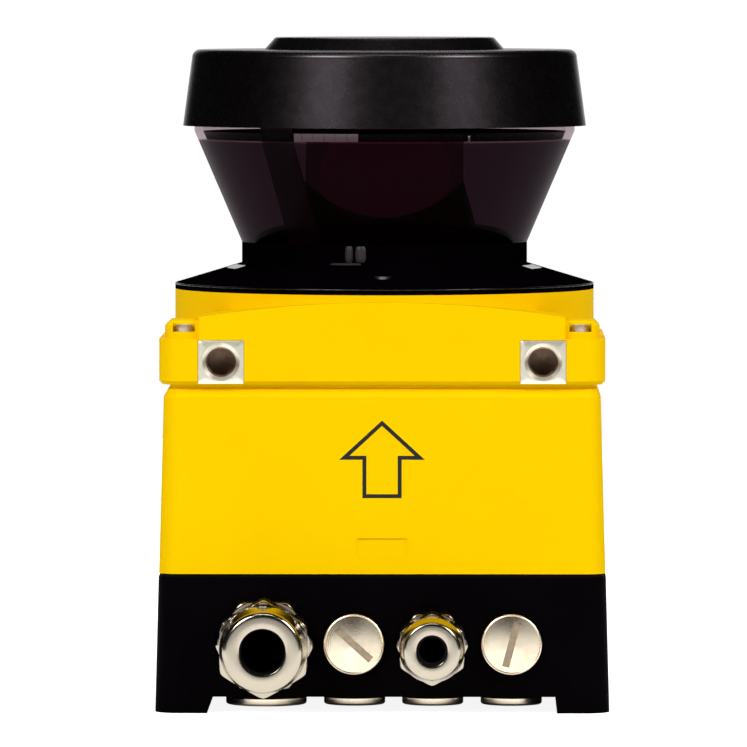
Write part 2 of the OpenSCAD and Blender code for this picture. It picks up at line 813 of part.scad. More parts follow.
// Flat slab behind the tower whose upper edge is a low arch
module rear_slab() {
    rise = arch_high - arch_low;
    arch_r = (arch_half_w * arch_half_w + rise * rise) / (2 * rise);
    rear = rear_at(flange_inset);
    intersection() {
        bar(0, rear, z_flange_top - 1, [2 * arch_half_w, slab_d, arch_high + 2]);
        translate([0, rear - over, z_flange_top + arch_high - arch_r]) rotate([-90, 0, 0])
            cylinder(r = arch_r, h = slab_d + 2 * over, $fn = 360);
    }
}

module upper_housing() color(yellow) {
    inner_inset = groove_inset + wall - 0.6;
    z_ledge = z_flange_top - ledge_t;
    difference() {
        union() {
            difference() {
                union() {
                    d_block(z_flange, z_flange + edge_break, flange_inset + edge_break, flange_inset);
                    d_plate(flange_inset, z_flange + edge_break, z_flange_top);
                    corner_shoulders();
                    rear_slab();
                    on_axis(z_flange_top - 1) cylinder(r = tower_r, h = tower_h + 1);
                }
                d_plate(inner_inset, z_flange - over, z_ledge);
                on_axis(z_flange) cylinder(r = ledge_bore_r, h = flange_h + over);
                on_axis(z_flange_top) cylinder(r = tower_r - tower_wall, h = tower_h + over);
            }
            intersection() {
                d_plate(flange_inset + edge_break, z_flange, z_flange_top);
                union() {
                    housing_posts(z_flange, z_flange_top - 1);
                    for (s = [-1, 1]) {
                        bar(s * mount_spacing / 2, foot_rear_y, z_flange,
                            [block_w + 2 * wall, block_d + wall + flange_inset, flange_h - 1]);
                        translate([s > 0 ? half_w(flange_inset) - block_d - wall : -half_w(flange_inset),
                                   side_mount_y - block_w / 2 - wall, z_flange])
                            cube([block_d + wall, block_w + 2 * wall, flange_h - ledge_t + 0.5]);
                    }
                }
            }
        }
        for (s = [-1, 1]) {
            at_rear_mount(s) mount_pocket();
            at_side_mount(s) side_pocket();
            translate([s * rear_screw_x, rear_screw_y, 0]) {
                translate([0, 0, rear_screw_seat])
                    cylinder(r = window_slot_w / 2, h = shoulder_h + 1);
                bar(0, -slab_d, z_flange_top + 1.6, [window_slot_w, slab_d, window_slot_h]);
            }
            translate([s * front_screw_x, front_screw_y, front_screw_seat])
                cylinder(r = housing_screw_head_r + play, h = housing_screw_head_h + 1);
        }
        housing_screw_holes(housing_screw_r + 0.15, z_flange - over, z_flange_top + 1);
        bar(0, display_seat_y, display_z, [display_w, 4, display_h]);
        bar(0, display_seat_y - 4, display_z + 1.2, [display_w - 4, 5, display_h - 2.4]);
        for (a = chassis_screw_turns) on_axis() rotate(a)
            translate([chassis_screw_circle, 0, z_ledge - over])
                cylinder(r = small_screw_r + fit, h = ledge_t + 2 * over);
    }
}

module housing_screws() color(nickel) for (s = [-1, 1]) {
    translate([s * rear_screw_x, rear_screw_y, rear_screw_seat])
        head_screw(housing_screw_head_r, housing_screw_head_h, housing_screw_r,
                   rear_screw_seat - z_lower_top + housing_screw_grip);
    translate([s * front_screw_x, front_screw_y, front_screw_seat])
        head_screw(housing_screw_head_r, housing_screw_head_h, housing_screw_r,
                   front_screw_seat - z_lower_top + housing_screw_grip);
}

module display_window() color([0.05, 0.05, 0.06])
    bar(0, display_seat_y, display_z, [display_w, display_t, display_h]);

module display_board() color(board_green) {
    y0 = display_seat_y - 1.4;
    bar(0, y0, display_z + 1.5, [display_w - 5, board_t - 0.6, display_h - 3]);
    for (x = [-6, -2, 2, 6]) bar(x, y0 + 0.8, display_z + 2.2, [2.4, 0.5, 2]);
}

// ---- optics carrier, motor and mirror ----

small_screw_r = 1.2;
small_screw_head_r = 2;
small_screw_head_h = 1.8;
chassis_t = 3;
chassis_r = tower_r - tower_wall - play;
chassis_screw_circle = chassis_r - 3.2;
chassis_screw_turns = [90, 210, 330];
z_chassis_top = z_flange_top + chassis_t;
collar_post_r = 3.3;
collar_screw_turns = [30, 150, 270];
z_collar_post = z_tower_top - 0.5;
tube_r = bearing_r + 2;
motor_flange_r = 26.5;
motor_flange_t = 3;
motor_screw_circle = 23.5;
motor_screw_turns = [60, 180, 300];
dome_wall = 2;
dome_foot_t = 2;
dome_foot_r = 34.2;
dome_screw_turns = [0, 120, 240];
dome_screw_circle = 32.2;
rotor_gap = 0.6;           // dome opening round the carrier
z_dome_top = z_window + 3.7;
z_dome_shoulder = z_window - 0.4;
dome_hole_r = carrier_r + rotor_gap;
z_bell_top = z_window - 1;
bell_roof_t = 1.8;
bell_r = 20.3;
bell_wall = 1.2;
magnet_t = 1.6;
air_gap = 0.5;
stator_r = bell_r - bell_wall - magnet_t - air_gap;
z_stator = z_chassis_top + 5;
stator_h = 7;
z_shaft_low = z_flange - 4;
z_lower_bearing = z_flange + 3;
z_upper_bearing = z_bell_top - bell_roof_t - bearing_w - 1;
z_tube_low = z_lower_bearing - 1;
z_tube_top = z_upper_bearing + bearing_w;
z_encoder = z_shaft_low + 1.2;

module optics_chassis() color(steel) difference() {
    union() {
        on_axis(z_flange_top) cylinder(r = chassis_r, h = chassis_t);
        for (a = collar_screw_turns) on_axis() rotate(a)
            translate([collar_screw_r, 0, z_chassis_top - 1])
                cylinder(r = collar_post_r, h = z_collar_post - z_chassis_top + 1);
    }
    on_axis(z_flange_top - over) cylinder(r = tube_r + 0.1, h = chassis_t + 2 * over);
    on_axis() {
        flex_opening();
        for (a = collar_screw_turns) rotate(a) translate([collar_screw_r, 0, z_flange_top - over])
            cylinder(r = small_screw_r + fit, h = z_collar_post - z_flange_top + 2 * over);
        for (a = chassis_screw_turns) rotate(a)
            translate([chassis_screw_circle, 0, z_flange_top - over])
                cylinder(r = small_screw_r + 0.15, h = chassis_t + 2 * over);
        for (a = motor_screw_turns) rotate(a) translate([motor_screw_circle, 0, z_flange_top - over])
            cylinder(r = small_screw_r + fit, h = chassis_t + 2 * over);
        for (a = dome_screw_turns) rotate(a) translate([dome_screw_circle, 0, z_flange_top - over])
            cylinder(r = small_screw_r + fit, h = chassis_t + 2 * over);
    }
}

// Small screws of the optics carrier, the motor, the dome and the head plate
module optics_screws() color(steel) on_axis() {
    for (a = head_screw_turns) rotate(a)
        translate([head_screw_circle, 0, z_head_plate + 1.2]) mirror([0, 0, 1])
            head_screw(small_screw_head_r, small_screw_head_h - 0.8, small_screw_r, head_plate_t + 3);
    for (a = chassis_screw_turns) rotate(a) translate([chassis_screw_circle, 0, z_chassis_top])
        head_screw(small_screw_head_r, small_screw_head_h, small_screw_r, chassis_t + ledge_t - 0.5);
    for (a = motor_screw_turns) rotate(a)
        translate([motor_screw_circle, 0, z_chassis_top + motor_flange_t])
            head_screw(small_screw_head_r, small_screw_head_h, small_screw_r,
                       motor_flange_t + chassis_t - 0.5);
    for (a = dome_screw_turns) rotate(a)
        translate([dome_screw_circle, 0, z_chassis_top + dome_foot_t])
            head_screw(small_screw_head_r, small_screw_head_h, small_screw_r,
                       dome_foot_t + chassis_t - 0.5);
}

// Flanged tube that holds both bearings
module motor_base() color(steel) difference() {
    on_axis() rotate_extrude() polygon([
        [shaft_r + 1.5, z_tube_low], [tube_r, z_tube_low], [tube_r, z_chassis_top],
        [motor_flange_r, z_chassis_top], [motor_flange_r, z_chassis_top + motor_flange_t],
        [tube_r + 2, z_chassis_top + motor_flange_t], [tube_r + 2, z_stator], [tube_r, z_stator],
        [tube_r, z_tube_top], [bearing_r + fit, z_tube_top], [bearing_r + fit, z_upper_bearing],
        [bearing_r - 1, z_upper_bearing], [bearing_r - 1, z_lower_bearing + bearing_w],
        [bearing_r + fit, z_lower_bearing + bearing_w], [bearing_r + fit, z_lower_bearing],
        [shaft_r + 1.5, z_lower_bearing]]);
    on_axis() for (a = motor_screw_turns) rotate(a)
        translate([motor_screw_circle, 0, z_chassis_top - over])
            cylinder(r = small_screw_r + 0.15, h = motor_flange_t + 2 * over);
}

// Laminated core with T-shaped teeth
module stator_core() color(steel) on_axis(z_stator) difference() {
    cylinder(r = stator_r, h = stator_h);
    translate([0, 0, -over]) cylinder(r = tube_r + fit, h = stator_h + 2 * over);
    for (i = [0:tooth_count - 1]) rotate(360 * (i + 0.5) / tooth_count)
        translate([coil_circle, 0, -over]) cylinder(r = coil_slot_r, h = stator_h + 2 * over);
}

coil_slot_r = 2.1;
coil_r = coil_slot_r - 0.1;
coil_circle = (tube_r + stator_r) / 2 + 0.4;
coil_overhang = 1;         // above and below the core
hub_wall = 1.2;            // bell hub round the shaft

// Winding bundles in the slots between the teeth, standing out above and below
module stator_coils() color(copper) on_axis(z_stator) {
    for (i = [0:tooth_count - 1]) rotate(360 * (i + 0.5) / tooth_count)
        translate([coil_circle, 0, -coil_overhang])
            cylinder(r = coil_r, h = stator_h + 2 * coil_overhang);
}

module motor_shaft() color(steel) on_axis(z_shaft_low)
    cylinder(r = shaft_r, h = z_bell_top + 2 - z_shaft_low);

module rotor_bell() color([0.3, 0.3, 0.32]) on_axis() rotate_extrude() polygon([
    [shaft_r, z_bell_top], [shaft_r, z_upper_bearing + bearing_w + 2 * play],
    [shaft_r + hub_wall, z_upper_bearing + bearing_w + 2 * play],
    [shaft_r + hub_wall, z_bell_top - bell_roof_t],
    [bell_r - bell_wall, z_bell_top - bell_roof_t], [bell_r - bell_wall, z_stator - 0.5],
    [bell_r, z_stator - 0.5], [bell_r, z_bell_top]]);

module rotor_magnets() color([0.2, 0.2, 0.2])
    axis_ring(bell_r - bell_wall - magnet_t, bell_r - bell_wall, z_stator, z_stator + stator_h);

// ---- bearings ----

ball_r = 1.15;
ball_circle = (shaft_r + bearing_r) / 2;
race_gap = 0.63;           // half the width between the races
groove_play = 0.03;
cage_h = 2 * ball_r + 0.9;
cage_t = 0.8;

module race_pair(r_in, r_out) {
    for (z = [z_lower_bearing, z_upper_bearing]) on_axis(z) rotate_extrude() difference() {
        translate([r_in, 0]) square([r_out - r_in, bearing_w]);
        translate([ball_circle, bearing_w / 2]) circle(r = ball_r + groove_play);
    }
}

module bearing_outer_races() color(steel) race_pair(ball_circle + race_gap, bearing_r);
module bearing_inner_races() color(steel) race_pair(shaft_r, ball_circle - race_gap);

module bearing_balls() color(nickel)
    for (z = [z_lower_bearing, z_upper_bearing], i = [0:ball_count - 1])
        on_axis(z + bearing_w / 2) rotate(360 * i / ball_count)
            translate([ball_circle, 0, 0]) sphere(r = ball_r);

module ball_cages() color(brass)
    for (z = [z_lower_bearing, z_upper_bearing]) on_axis(z + bearing_w / 2) difference() {
        rotate_extrude() translate([ball_circle - cage_t / 2, -cage_h / 2]) square([cage_t, cage_h]);
        for (i = [0:ball_count - 1]) rotate(360 * i / ball_count)
            translate([ball_circle - cage_t, 0, 0]) rotate([0, 90, 0])
                cylinder(r = ball_r + groove_play, h = 2 * cage_t);
    }

// ---- turning mirror ----

z_mirror_low = z_window + mirror_low;
z_mirror_top = z_mirror_low + mirror_rise;
mirror_y = -mirror_rise / 2;       // lower edge, behind the axis
z_carrier_shoulder = z_mirror_low + 8.2;
wide = 60;                 // reach of the cutting shapes, past every piece of the rotor
balance_hole_r = 5.5;      // hole that balances the rotor
balance_hole_y = 9;

// Everything above the sloping plane that holds the mirror's underside, moved down by drop
module above_slope(drop) {
    translate([-wide, mirror_y, z_mirror_low - drop]) rotate([45, 0, 0])
        cube([2 * wide, 2 * wide, 2 * wide]);
    translate([-wide, mirror_y - wide * 2, z_mirror_low - drop]) cube([2 * wide, wide * 2, 2 * wide]);
}

// Prism whose lower edge is a wide arc and whose sides are upright, seen from the rear
module mirror_outline(shrink) {
    half = mirror_w / 2 - shrink;
    dip = z_carrier_shoulder - z_mirror_low;
    arc_r = (mirror_w * mirror_w / 4 + dip * dip) / (2 * dip);
    intersection() {
        translate([-half, -wide / 2, z_mirror_low]) cube([2 * half, wide, mirror_rise]);
        translate([0, wide / 2, z_mirror_low + arc_r]) rotate([90, 0, 0])
            cylinder(r = arc_r - shrink, h = wide, $fn = 180);
    }
}

// Sheet of thickness t whose upper face lies on the mirror's slope
module sloping_sheet(t, above = 0) {
    translate([-wide / 2, mirror_y, z_mirror_low]) rotate([45, 0, 0])
        translate([0, -wide / 2, -t]) cube([wide, 1.5 * wide, t + above]);
}

module scan_mirror() color([0.55, 0.45, 0.50]) on_axis() intersection() {
    sloping_sheet(mirror_t);
    mirror_outline(0);
}

// Tapered drum below and behind the mirror
module mirror_carrier() color(black) on_axis() difference() {
    union() {
        translate([0, 0, z_bell_top]) cylinder(r = carrier_r, h = z_dome_top - z_bell_top);
        translate([0, 0, z_dome_top])
            cylinder(r1 = carrier_r, r2 = carrier_top_r, h = z_carrier_shoulder - z_dome_top);
        intersection() {
            translate([0, 0, z_dome_top]) cylinder(r = carrier_top_r, h = z_mirror_top - z_dome_top);
            translate([-carrier_top_r, -carrier_top_r, z_dome_top])
                cube([2 * carrier_top_r, 2 * carrier_top_r, z_mirror_top - z_dome_top]);
        }
    }
    intersection() {
        sloping_sheet(mirror_t, over);
        mirror_outline(0);
    }
    difference() {
        above_slope(0);
        translate([-wide, -wide, 0]) cube([2 * wide, 2 * wide, z_dome_top]);
    }
    translate([0, 0, z_bell_top - over]) cylinder(r = shaft_r + 0.1, h = 3);
    translate([0, balance_hole_y, z_bell_top + 6]) cylinder(r = balance_hole_r, h = 5);
}

module encoder_disc() color([0.5, 0.5, 0.55]) on_axis(z_encoder) difference() {
    union() {
        cylinder(r = encoder_r, h = encoder_t);
        translate([0, 0, encoder_t - 0.1]) cylinder(r = encoder_hub_r, h = 2);
    }
    translate([0, 0, -over]) cylinder(r = shaft_r, h = 4);
    for (i = [0:slit_count - 1]) rotate(360 * i / slit_count)
        translate([encoder_r - 1 - slit[0], -slit[1] / 2, -over])
            cube([slit[0], slit[1], encoder_t + 2 * over]);
}

encoder_r = 14;
encoder_t = 0.8;
encoder_hub_r = 5;
slit_count = 36;
slit = [1.6, 0.7];

// Fork light barrier on an arm below the optics carrier
module encoder_sensor() color([0.12, 0.12, 0.14]) on_axis() difference() {
    union() {
        translate([encoder_r - 4, -3, z_encoder - 2]) cube([8, 6, encoder_t + 5]);
        translate([encoder_r + 2, -3, z_encoder - 2]) cube([5, 6, z_flange_top - z_encoder + 2]);
    }
    translate([encoder_r - 4 - over, -3 - over, z_encoder - play])
        cube([5 + over, 6 + 2 * over, encoder_t + 2 * play]);
}

// ---- fixed dome, collar and window ----

module optics_base() color(black) difference() {
    on_axis() rotate_extrude() {
        bulge = dome_r - dome_hole_r;
        polygon(concat(
            [[dome_r - dome_wall, z_chassis_top], [dome_foot_r, z_chassis_top],
             [dome_foot_r, z_chassis_top + 2], [dome_r, z_chassis_top + 2]],
            [for (i = [0:10]) let (a = 90 * i / 10)
                [dome_hole_r + bulge * cos(a), z_dome_shoulder + (z_dome_top - z_dome_shoulder) * sin(a)]],
            [[dome_hole_r, z_dome_top - 1.5], [dome_r - dome_wall, z_dome_shoulder - 2]]));
    }
    on_axis() for (a = dome_screw_turns) rotate(a) translate([dome_screw_circle, 0, z_chassis_top - over])
        cylinder(r = small_screw_r + 0.15, h = 2 + 2 * over);
    on_axis() flex_groove();
}

collar_wall = 2.8;
spigot_depth = 3;
neck_wall = 1.1;
neck_in_r = neck_r - neck_wall;
seat_r = dome_r + 0.5;
foot_depth = 1.7;
window_seal_t = 0.8;
collar_seat = 0.8;         // collar screw seat above the tower

module collar() color(black) difference() {
    slope = collar_cone_h / (tower_r - neck_r);
    in_r = tower_r - tower_wall - 2.2;
    union() {
        on_axis() rotate_extrude() polygon([
            [tower_r, z_tower_top], [tower_r, z_cone], [neck_r, z_neck], [neck_r, z_window],
            [neck_in_r, z_window], [neck_in_r, z_window - foot_depth - window_seal_t],
            [seat_r, z_window - foot_depth - window_seal_t],
            [seat_r, z_cone + slope * (tower_r - seat_r) - collar_wall],
            [in_r, z_cone + slope * (tower_r - in_r) - collar_wall],
            [in_r, z_tower_top - spigot_depth],
            [tower_r - tower_wall - 0.1, z_tower_top - spigot_depth],
            [tower_r - tower_wall - 0.1, z_tower_top]]);
        for (a = collar_screw_turns) on_axis() rotate(a) translate([collar_screw_r, 0, z_collar_post])
            cylinder(r = collar_post_r, h = 3);
    }
    on_axis() for (a = collar_screw_turns) rotate(a) translate([collar_screw_r, 0, 0]) {
        translate([0, 0, z_collar_post - over]) cylinder(r = small_screw_r + 0.15, h = 5);
        translate([0, 0, z_cone + collar_seat]) cylinder(r = small_screw_head_r + play, h = 10);
    }
}

module collar_screws() color(nickel) on_axis() for (a = collar_screw_turns) rotate(a)
    translate([collar_screw_r, 0, z_cone + collar_seat])
        head_screw(small_screw_head_r, small_screw_head_h, small_screw_r,
                   z_cone + collar_seat - z_chassis_top);

// Tinted window: a foot in the collar neck, a slanted wall and an upright rim
module optics_window() color(tint) on_axis() rotate_extrude() polygon([
    [seat_r, z_window - foot_depth], [neck_in_r - 0.1, z_window - foot_depth],
    [neck_in_r - 0.1, z_window], [neck_r, z_window], [window_top_r, z_window_rim],
    [window_top_r, z_rim_top], [window_top_r - window_t, z_rim_top],
    [window_top_r - window_t, z_window_rim], [neck_r - window_t, z_window],
    [seat_r, z_window - 0.5]]);

rim_h = 3.4;
z_rim_top = z_window_rim + rim_h;
cap_seal_t = 0.8;
z_head_plate = z_cap + 0.6;
head_plate_t = z_rim_top + cap_seal_t - z_head_plate;
head_plate_r = window_top_r - window_t - play;

// Ring below the window foot and ring above the window rim
module window_seals() color(rubber) {
    axis_ring(seat_r, neck_in_r, z_window - foot_depth - window_seal_t, z_window - foot_depth);
    axis_ring(window_top_r - window_t, window_top_r, z_rim_top, z_rim_top + cap_seal_t);
}

ring_drop = 1.9;
ring_h = 1.8;
ring_t = 1;
target_x0 = -20;
target_x1 = -5.5;
ring_joint_x = 19.2;

// Black ring bonded to the inside of the window
module window_ring_shape() {
    z0 = z_window_rim - ring_drop;
    r0 = window_top_r - window_t - ring_drop * window_slope;
    on_axis() rotate_extrude() polygon([
        [r0 - ring_t, z0], [r0, z0], [r0 + ring_h * window_slope, z0 + ring_h],
        [r0 - ring_t, z0 + ring_h]]);
}

module target_zone(extra) {
    translate([target_x0 - extra, axis_y - overall_d, z_window])
        cube([target_x1 - target_x0 + 2 * extra, overall_d - 10, window_h]);
}

module window_ring() color(black) difference() {
    window_ring_shape();
    target_zone(0);
    translate([ring_joint_x, axis_y - overall_d, z_window]) cube([0.5, overall_d - 10, window_h]);
}

module reference_target() color([0.75, 0.75, 0.73]) intersection() {
    window_ring_shape();
    target_zone(0);
}

// ---- cap, receiver and transmitter ----

cap_wall = 2.4;
cap_ledge_r = window_top_r - window_t - 0.2;
barrel_r = carrier_top_r;
barrel_wall = 2;
barrel_drop = 1.2;         // lens barrel below the head plate
head_screw_circle = 32;
head_screw_turns = [30, 150, 270];
head_boss_r = 4;
lens_r = barrel_r - barrel_wall;
lens_edge_t = 2;
laser_r = 3.4;
z_lens = z_head_plate + 1;
z_receiver_board = z_head_plate + 11;
receiver_board_r = 20.5;
z_cap_roof = z_cap_top - cap_wall;

module cap() color(black) difference() {
    top_r = cap_r - cap_draft;
    disc_top_r = disc_r - 1.9;
    union() {
        on_axis() rotate_extrude() polygon(concat(
            [[0, z_cap_roof], [cap_ledge_r, z_cap_roof], [cap_ledge_r, z_rim_top + cap_seal_t],
             [window_top_r + 0.15, z_rim_top + cap_seal_t], [window_top_r + 0.15, z_cap], [cap_r, z_cap]],
            arc_points(top_r - cap_edge_r, z_cap_top - cap_edge_r, cap_edge_r, 0, 90),
            [[disc_r, z_cap_top]],
            arc_points(disc_top_r - 1, z_top - 1, 1, 30, 90, 6),
            [[0, z_top]]));
        for (a = head_screw_turns) on_axis() rotate(a)
            translate([head_screw_circle, 0, z_head_plate + head_plate_t])
                cylinder(r = head_boss_r, h = z_cap_roof + 0.5 - z_head_plate - head_plate_t);
    }
    for (a = head_screw_turns) on_axis() rotate(a)
        translate([head_screw_circle, 0, z_head_plate])
            cylinder(r = small_screw_r + fit, h = head_plate_t + 5);
}

// Plate that closes the cap and carries the lens barrel
module optics_head() color(black) difference() {
    union() {
        on_axis(z_head_plate) cylinder(r = head_plate_r, h = head_plate_t);
        on_axis(z_head_plate - barrel_drop)
            cylinder(r = barrel_r, h = z_receiver_board - z_head_plate + barrel_drop);
    }
    on_axis(z_head_plate - barrel_drop - over) cylinder(r = lens_r - 1, h = 30);
    on_axis(z_lens) cylinder(r = lens_r + fit, h = 30);
    for (a = head_screw_turns) on_axis() rotate(a)
        translate([head_screw_circle, 0, z_head_plate - over]) {
            cylinder(r = small_screw_r + 0.15, h = head_plate_t + 2 * over);
            cylinder(r = small_screw_head_r + play, h = 1.2 + over);
        }
    on_axis() flex_slot();
}

// Domed lens with a hole for the laser tube
module receiver_lens() color([0.75, 0.8, 0.85]) on_axis(z_lens) rotate_extrude() {
    rise = 3.4;
    curve_r = (lens_r * lens_r + rise * rise) / (2 * rise);
    from = asin(lens_r / curve_r);
    to = asin((laser_r + fit) / curve_r);
    polygon(concat(
        [[laser_r + fit, 0], [lens_r, 0]],
        [for (i = [0:10]) let (a = from + (to - from) * i / 10)
            [curve_r * sin(a), lens_edge_t + curve_r * cos(a) - (curve_r - rise)]]));
}

module laser_module() color(brass) on_axis(z_lens - 1.6) difference() {
    cylinder(r = laser_r, h = 8.2);
    translate([0, 0, -over]) cylinder(r = laser_r - 1, h = 2.5);
}

module receiver_board() color(board_green) on_axis(z_receiver_board) {
    cylinder(r = receiver_board_r, h = board_t);
    translate([0, 0, -1.2]) cylinder(r = 2.6, h = 1.4);
    bar(9, -5, board_t - 0.1, [6, 8, 1.4]);
    bar(-10, -4, board_t - 0.1, [5, 5, 1.2]);
}

// ---- ribbon from the receiver down to the main board ----

flex_w = 9;
flex_t = 0.4;
flex_turn = 232;
flex_gap = 2;              // clear of the window wall
flex_low_r = dome_r - 0.7;
flex_high_z = z_window_rim - 1;
flex_high_r = window_top_r - window_t - flex_gap - (z_window_rim - flex_high_z) * window_slope;
flex_path = [
    [receiver_board_r - 4, z_receiver_board + board_t + flex_t / 2],
    [flex_high_r, z_receiver_board + board_t + flex_t / 2],
    [flex_high_r, flex_high_z],
    [flex_low_r, flex_high_z - (flex_high_r - flex_low_r) / window_slope],
    [flex_low_r, z_main_board + board_t]];

function side_step(a, b) = let (d = b - a) [-d[1], d[0]] / norm(d);
function mitre(a, b) = (a + b) / (1 + a * b);
function strip_edge(path, off) = [for (i = [0:len(path) - 1])
    let (before = side_step(path[max(i, 1) - 1], path[max(i, 1)]),
         after = side_step(path[min(i, len(path) - 2)], path[min(i, len(path) - 2) + 1]))
    path[i] + off * mitre(before, after)];
function reversed(v) = [for (i = [len(v) - 1:-1:0]) v[i]];

module flex_cable() color([0.10, 0.08, 0.14]) on_axis() rotate(flex_turn)
    translate([0, flex_w / 2, 0]) rotate([90, 0, 0]) linear_extrude(flex_w)
        polygon(concat(strip_edge(flex_path, flex_t / 2),
                       reversed(strip_edge(flex_path, -flex_t / 2))));

// Ways for the ribbon through the head plate, the dome and the optics carrier
module flex_slot() {
    rotate(flex_turn) translate([flex_high_r - 1, -flex_w / 2 - 0.5, z_head_plate - over])
        cube([10, flex_w + 1, head_plate_t + 2 * over]);
}

module flex_groove() {
    rotate(flex_turn) translate([flex_low_r - 0.4, -flex_w / 2 - 0.5, z_flange_top - over])
        cube([10, flex_w + 1, z_dome_top - z_flange_top]);
}

module flex_opening() {
    rotate(flex_turn) translate([flex_low_r - 0.5, -flex_w / 2 - 0.5, z_flange_top - over])
        cube([1, flex_w + 1, chassis_t + 2 * over]);
}

system_plug_housing();
plug_board();
terminal_block();
system_plug_screws();
large_gland_body();
large_gland_sleeve();
large_gland_nut();
small_gland_body();
small_gland_sleeve();
small_gland_nut();
small_blanking_plugs();
large_blanking_plug();
entry_seals();
plug_gasket();
lower_housing();
io_board();
main_board();
board_standoffs();
board_screws();
config_socket();
config_cap();
rear_mark();
housing_gasket();
upper_housing();
rear_mount_left();
rear_mount_right();
side_mount_left();
side_mount_right();
housing_screws();
display_window();
display_board();
optics_chassis();
optics_screws();
motor_base();
stator_core();
stator_coils();
motor_shaft();
rotor_bell();
rotor_magnets();
bearing_outer_races();
bearing_inner_races();
bearing_balls();
ball_cages();
mirror_carrier();
scan_mirror();
encoder_disc();
encoder_sensor();
optics_base();
collar();
collar_screws();
optics_window();
window_seals();
window_ring();
reference_target();
cap();
optics_head();
receiver_lens();
laser_module();
receiver_board();
flex_cable();
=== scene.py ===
"""Looks of the safety laser scanner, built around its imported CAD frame.

Pieces are sized in millimetres. What the frame knows is read from its nodes' boxes.
"""
import json
import math

import bmesh
import bpy
from mathutils import Euler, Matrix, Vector


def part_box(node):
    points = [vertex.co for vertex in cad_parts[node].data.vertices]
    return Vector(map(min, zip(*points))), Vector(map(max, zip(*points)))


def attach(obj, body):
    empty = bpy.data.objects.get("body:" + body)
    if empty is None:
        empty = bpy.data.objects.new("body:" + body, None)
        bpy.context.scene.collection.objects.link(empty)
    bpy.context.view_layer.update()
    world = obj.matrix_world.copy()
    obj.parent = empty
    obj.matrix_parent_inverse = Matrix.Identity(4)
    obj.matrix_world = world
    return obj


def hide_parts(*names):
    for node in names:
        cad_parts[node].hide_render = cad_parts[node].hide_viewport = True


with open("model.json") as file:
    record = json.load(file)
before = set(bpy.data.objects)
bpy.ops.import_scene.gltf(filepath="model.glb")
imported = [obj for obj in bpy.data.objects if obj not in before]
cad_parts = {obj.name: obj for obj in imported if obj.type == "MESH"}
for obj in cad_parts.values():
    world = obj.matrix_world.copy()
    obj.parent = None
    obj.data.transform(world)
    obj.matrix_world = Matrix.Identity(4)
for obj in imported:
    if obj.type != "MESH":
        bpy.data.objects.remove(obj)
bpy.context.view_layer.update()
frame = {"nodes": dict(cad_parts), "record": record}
nodes = frame["nodes"]
scene = bpy.context.scene
MM = 0.001


# ---- node tree helpers ----

class Tree:
    """Short way to write a material or a world: t(kind, {input: value or socket}, **settings)."""

    def __init__(self, name, owner=None):
        self.owner = owner or bpy.data.materials.new(name)
        self.owner.use_nodes = True
        self.tree = self.owner.node_tree
        self.tree.nodes.clear()
        self.place = self("ShaderNodeTexCoord").outputs["Object"]

    def __call__(self, kind, inputs=None, **settings):
        n = self.tree.nodes.new(kind)
        for key, value in settings.items():
            setattr(n, key, value)
        for key, value in (inputs or {}).items():
            self.feed(n.inputs[key], value)
        return n

    def feed(self, socket, value):
        """Links a socket, or sets it to a plain value."""
        if isinstance(value, bpy.types.NodeSocket):
            self.tree.links.new(value, socket)
        else:
            socket.default_value = value

    def per_mm(self, scale, stretch=(1, 1, 1)):
        """Object coordinates in millimetres times scale."""
        size = [scale * s / MM for s in stretch]
        return self("ShaderNodeMapping", {"Vector": self.place, "Scale": size}).outputs[0]

    def noise(self, scale, detail=3.0, rough=0.55, stretch=(1, 1, 1)):
        return self("ShaderNodeTexNoise", {"Vector": self.per_mm(scale, stretch), "Scale": 1.0,
                                           "Detail": detail, "Roughness": rough}).outputs["Fac"]

    def ramp(self, fac, low, high, out_low=0.0, out_high=1.0):
        return self("ShaderNodeMapRange", {"Value": fac, "From Min": low, "From Max": high,
                                           "To Min": out_low, "To Max": out_high}).outputs[0]

    def mix(self, fac, a, b):
        n = self("ShaderNodeMix", {0: fac}, data_type="RGBA")
        for socket, value in ((n.inputs[6], a), (n.inputs[7], b)):
            self.feed(socket, (*value, 1) if isinstance(value, tuple) else value)
        return n.outputs[2]

    def calc(self, how, a, b):
        return self("ShaderNodeMath", {0: a, 1: b}, operation=how).outputs[0]

    def bump(self, height, strength, depth_mm):
        return self("ShaderNodeBump", {"Height": height, "Strength": strength,
                                       "Distance": depth_mm * MM}).outputs[0]

    def principled(self, **inputs):
        named = {key.replace("_", " "): value for key, value in inputs.items()}
        return self("ShaderNodeBsdfPrincipled", named)

    def finish(self, shader):
        kind = "World" if isinstance(self.owner, bpy.types.World) else "Material"
        self("ShaderNodeOutput" + kind, {"Surface": shader.outputs[0]})
        return self.owner


def rgb(r, g, b):
    """sRGB 0-255 to the linear colour that a socket takes."""
    def line(v):
        v /= 255
        return v / 12.92 if v <= 0.04045 else ((v + 0.055) / 1.055) ** 2.4
    return (line(r), line(g), line(b))


# ---- materials ----

def plastic(name, colour, shade, rough, grain_per_mm, grain_mm, gloss=0.5, coat=0.0, spread=0.08):
    """Moulded or painted surface: fine grain, slow changes of tone and of gloss."""
    t = Tree(name)
    slow = t.noise(0.05, 4)
    fine = t.noise(grain_per_mm, 2, 0.6)
    tone = t.mix(t.ramp(slow, 0.3, 0.7), colour, shade)
    dull = t.ramp(t.noise(0.4, 3), 0.3, 0.7, rough - spread / 2, rough + spread / 2)
    shader = t.principled(Base_Color=tone, Normal=t.bump(fine, 0.5, grain_mm), Coat_Weight=coat,
                          Roughness=t.calc("ADD", dull, t.ramp(fine, 0.2, 0.8, -spread / 4, spread / 4)))
    shader.inputs["Specular IOR Level"].default_value = gloss
    shader.inputs["Coat Roughness"].default_value = 0.12
    return t.finish(shader)


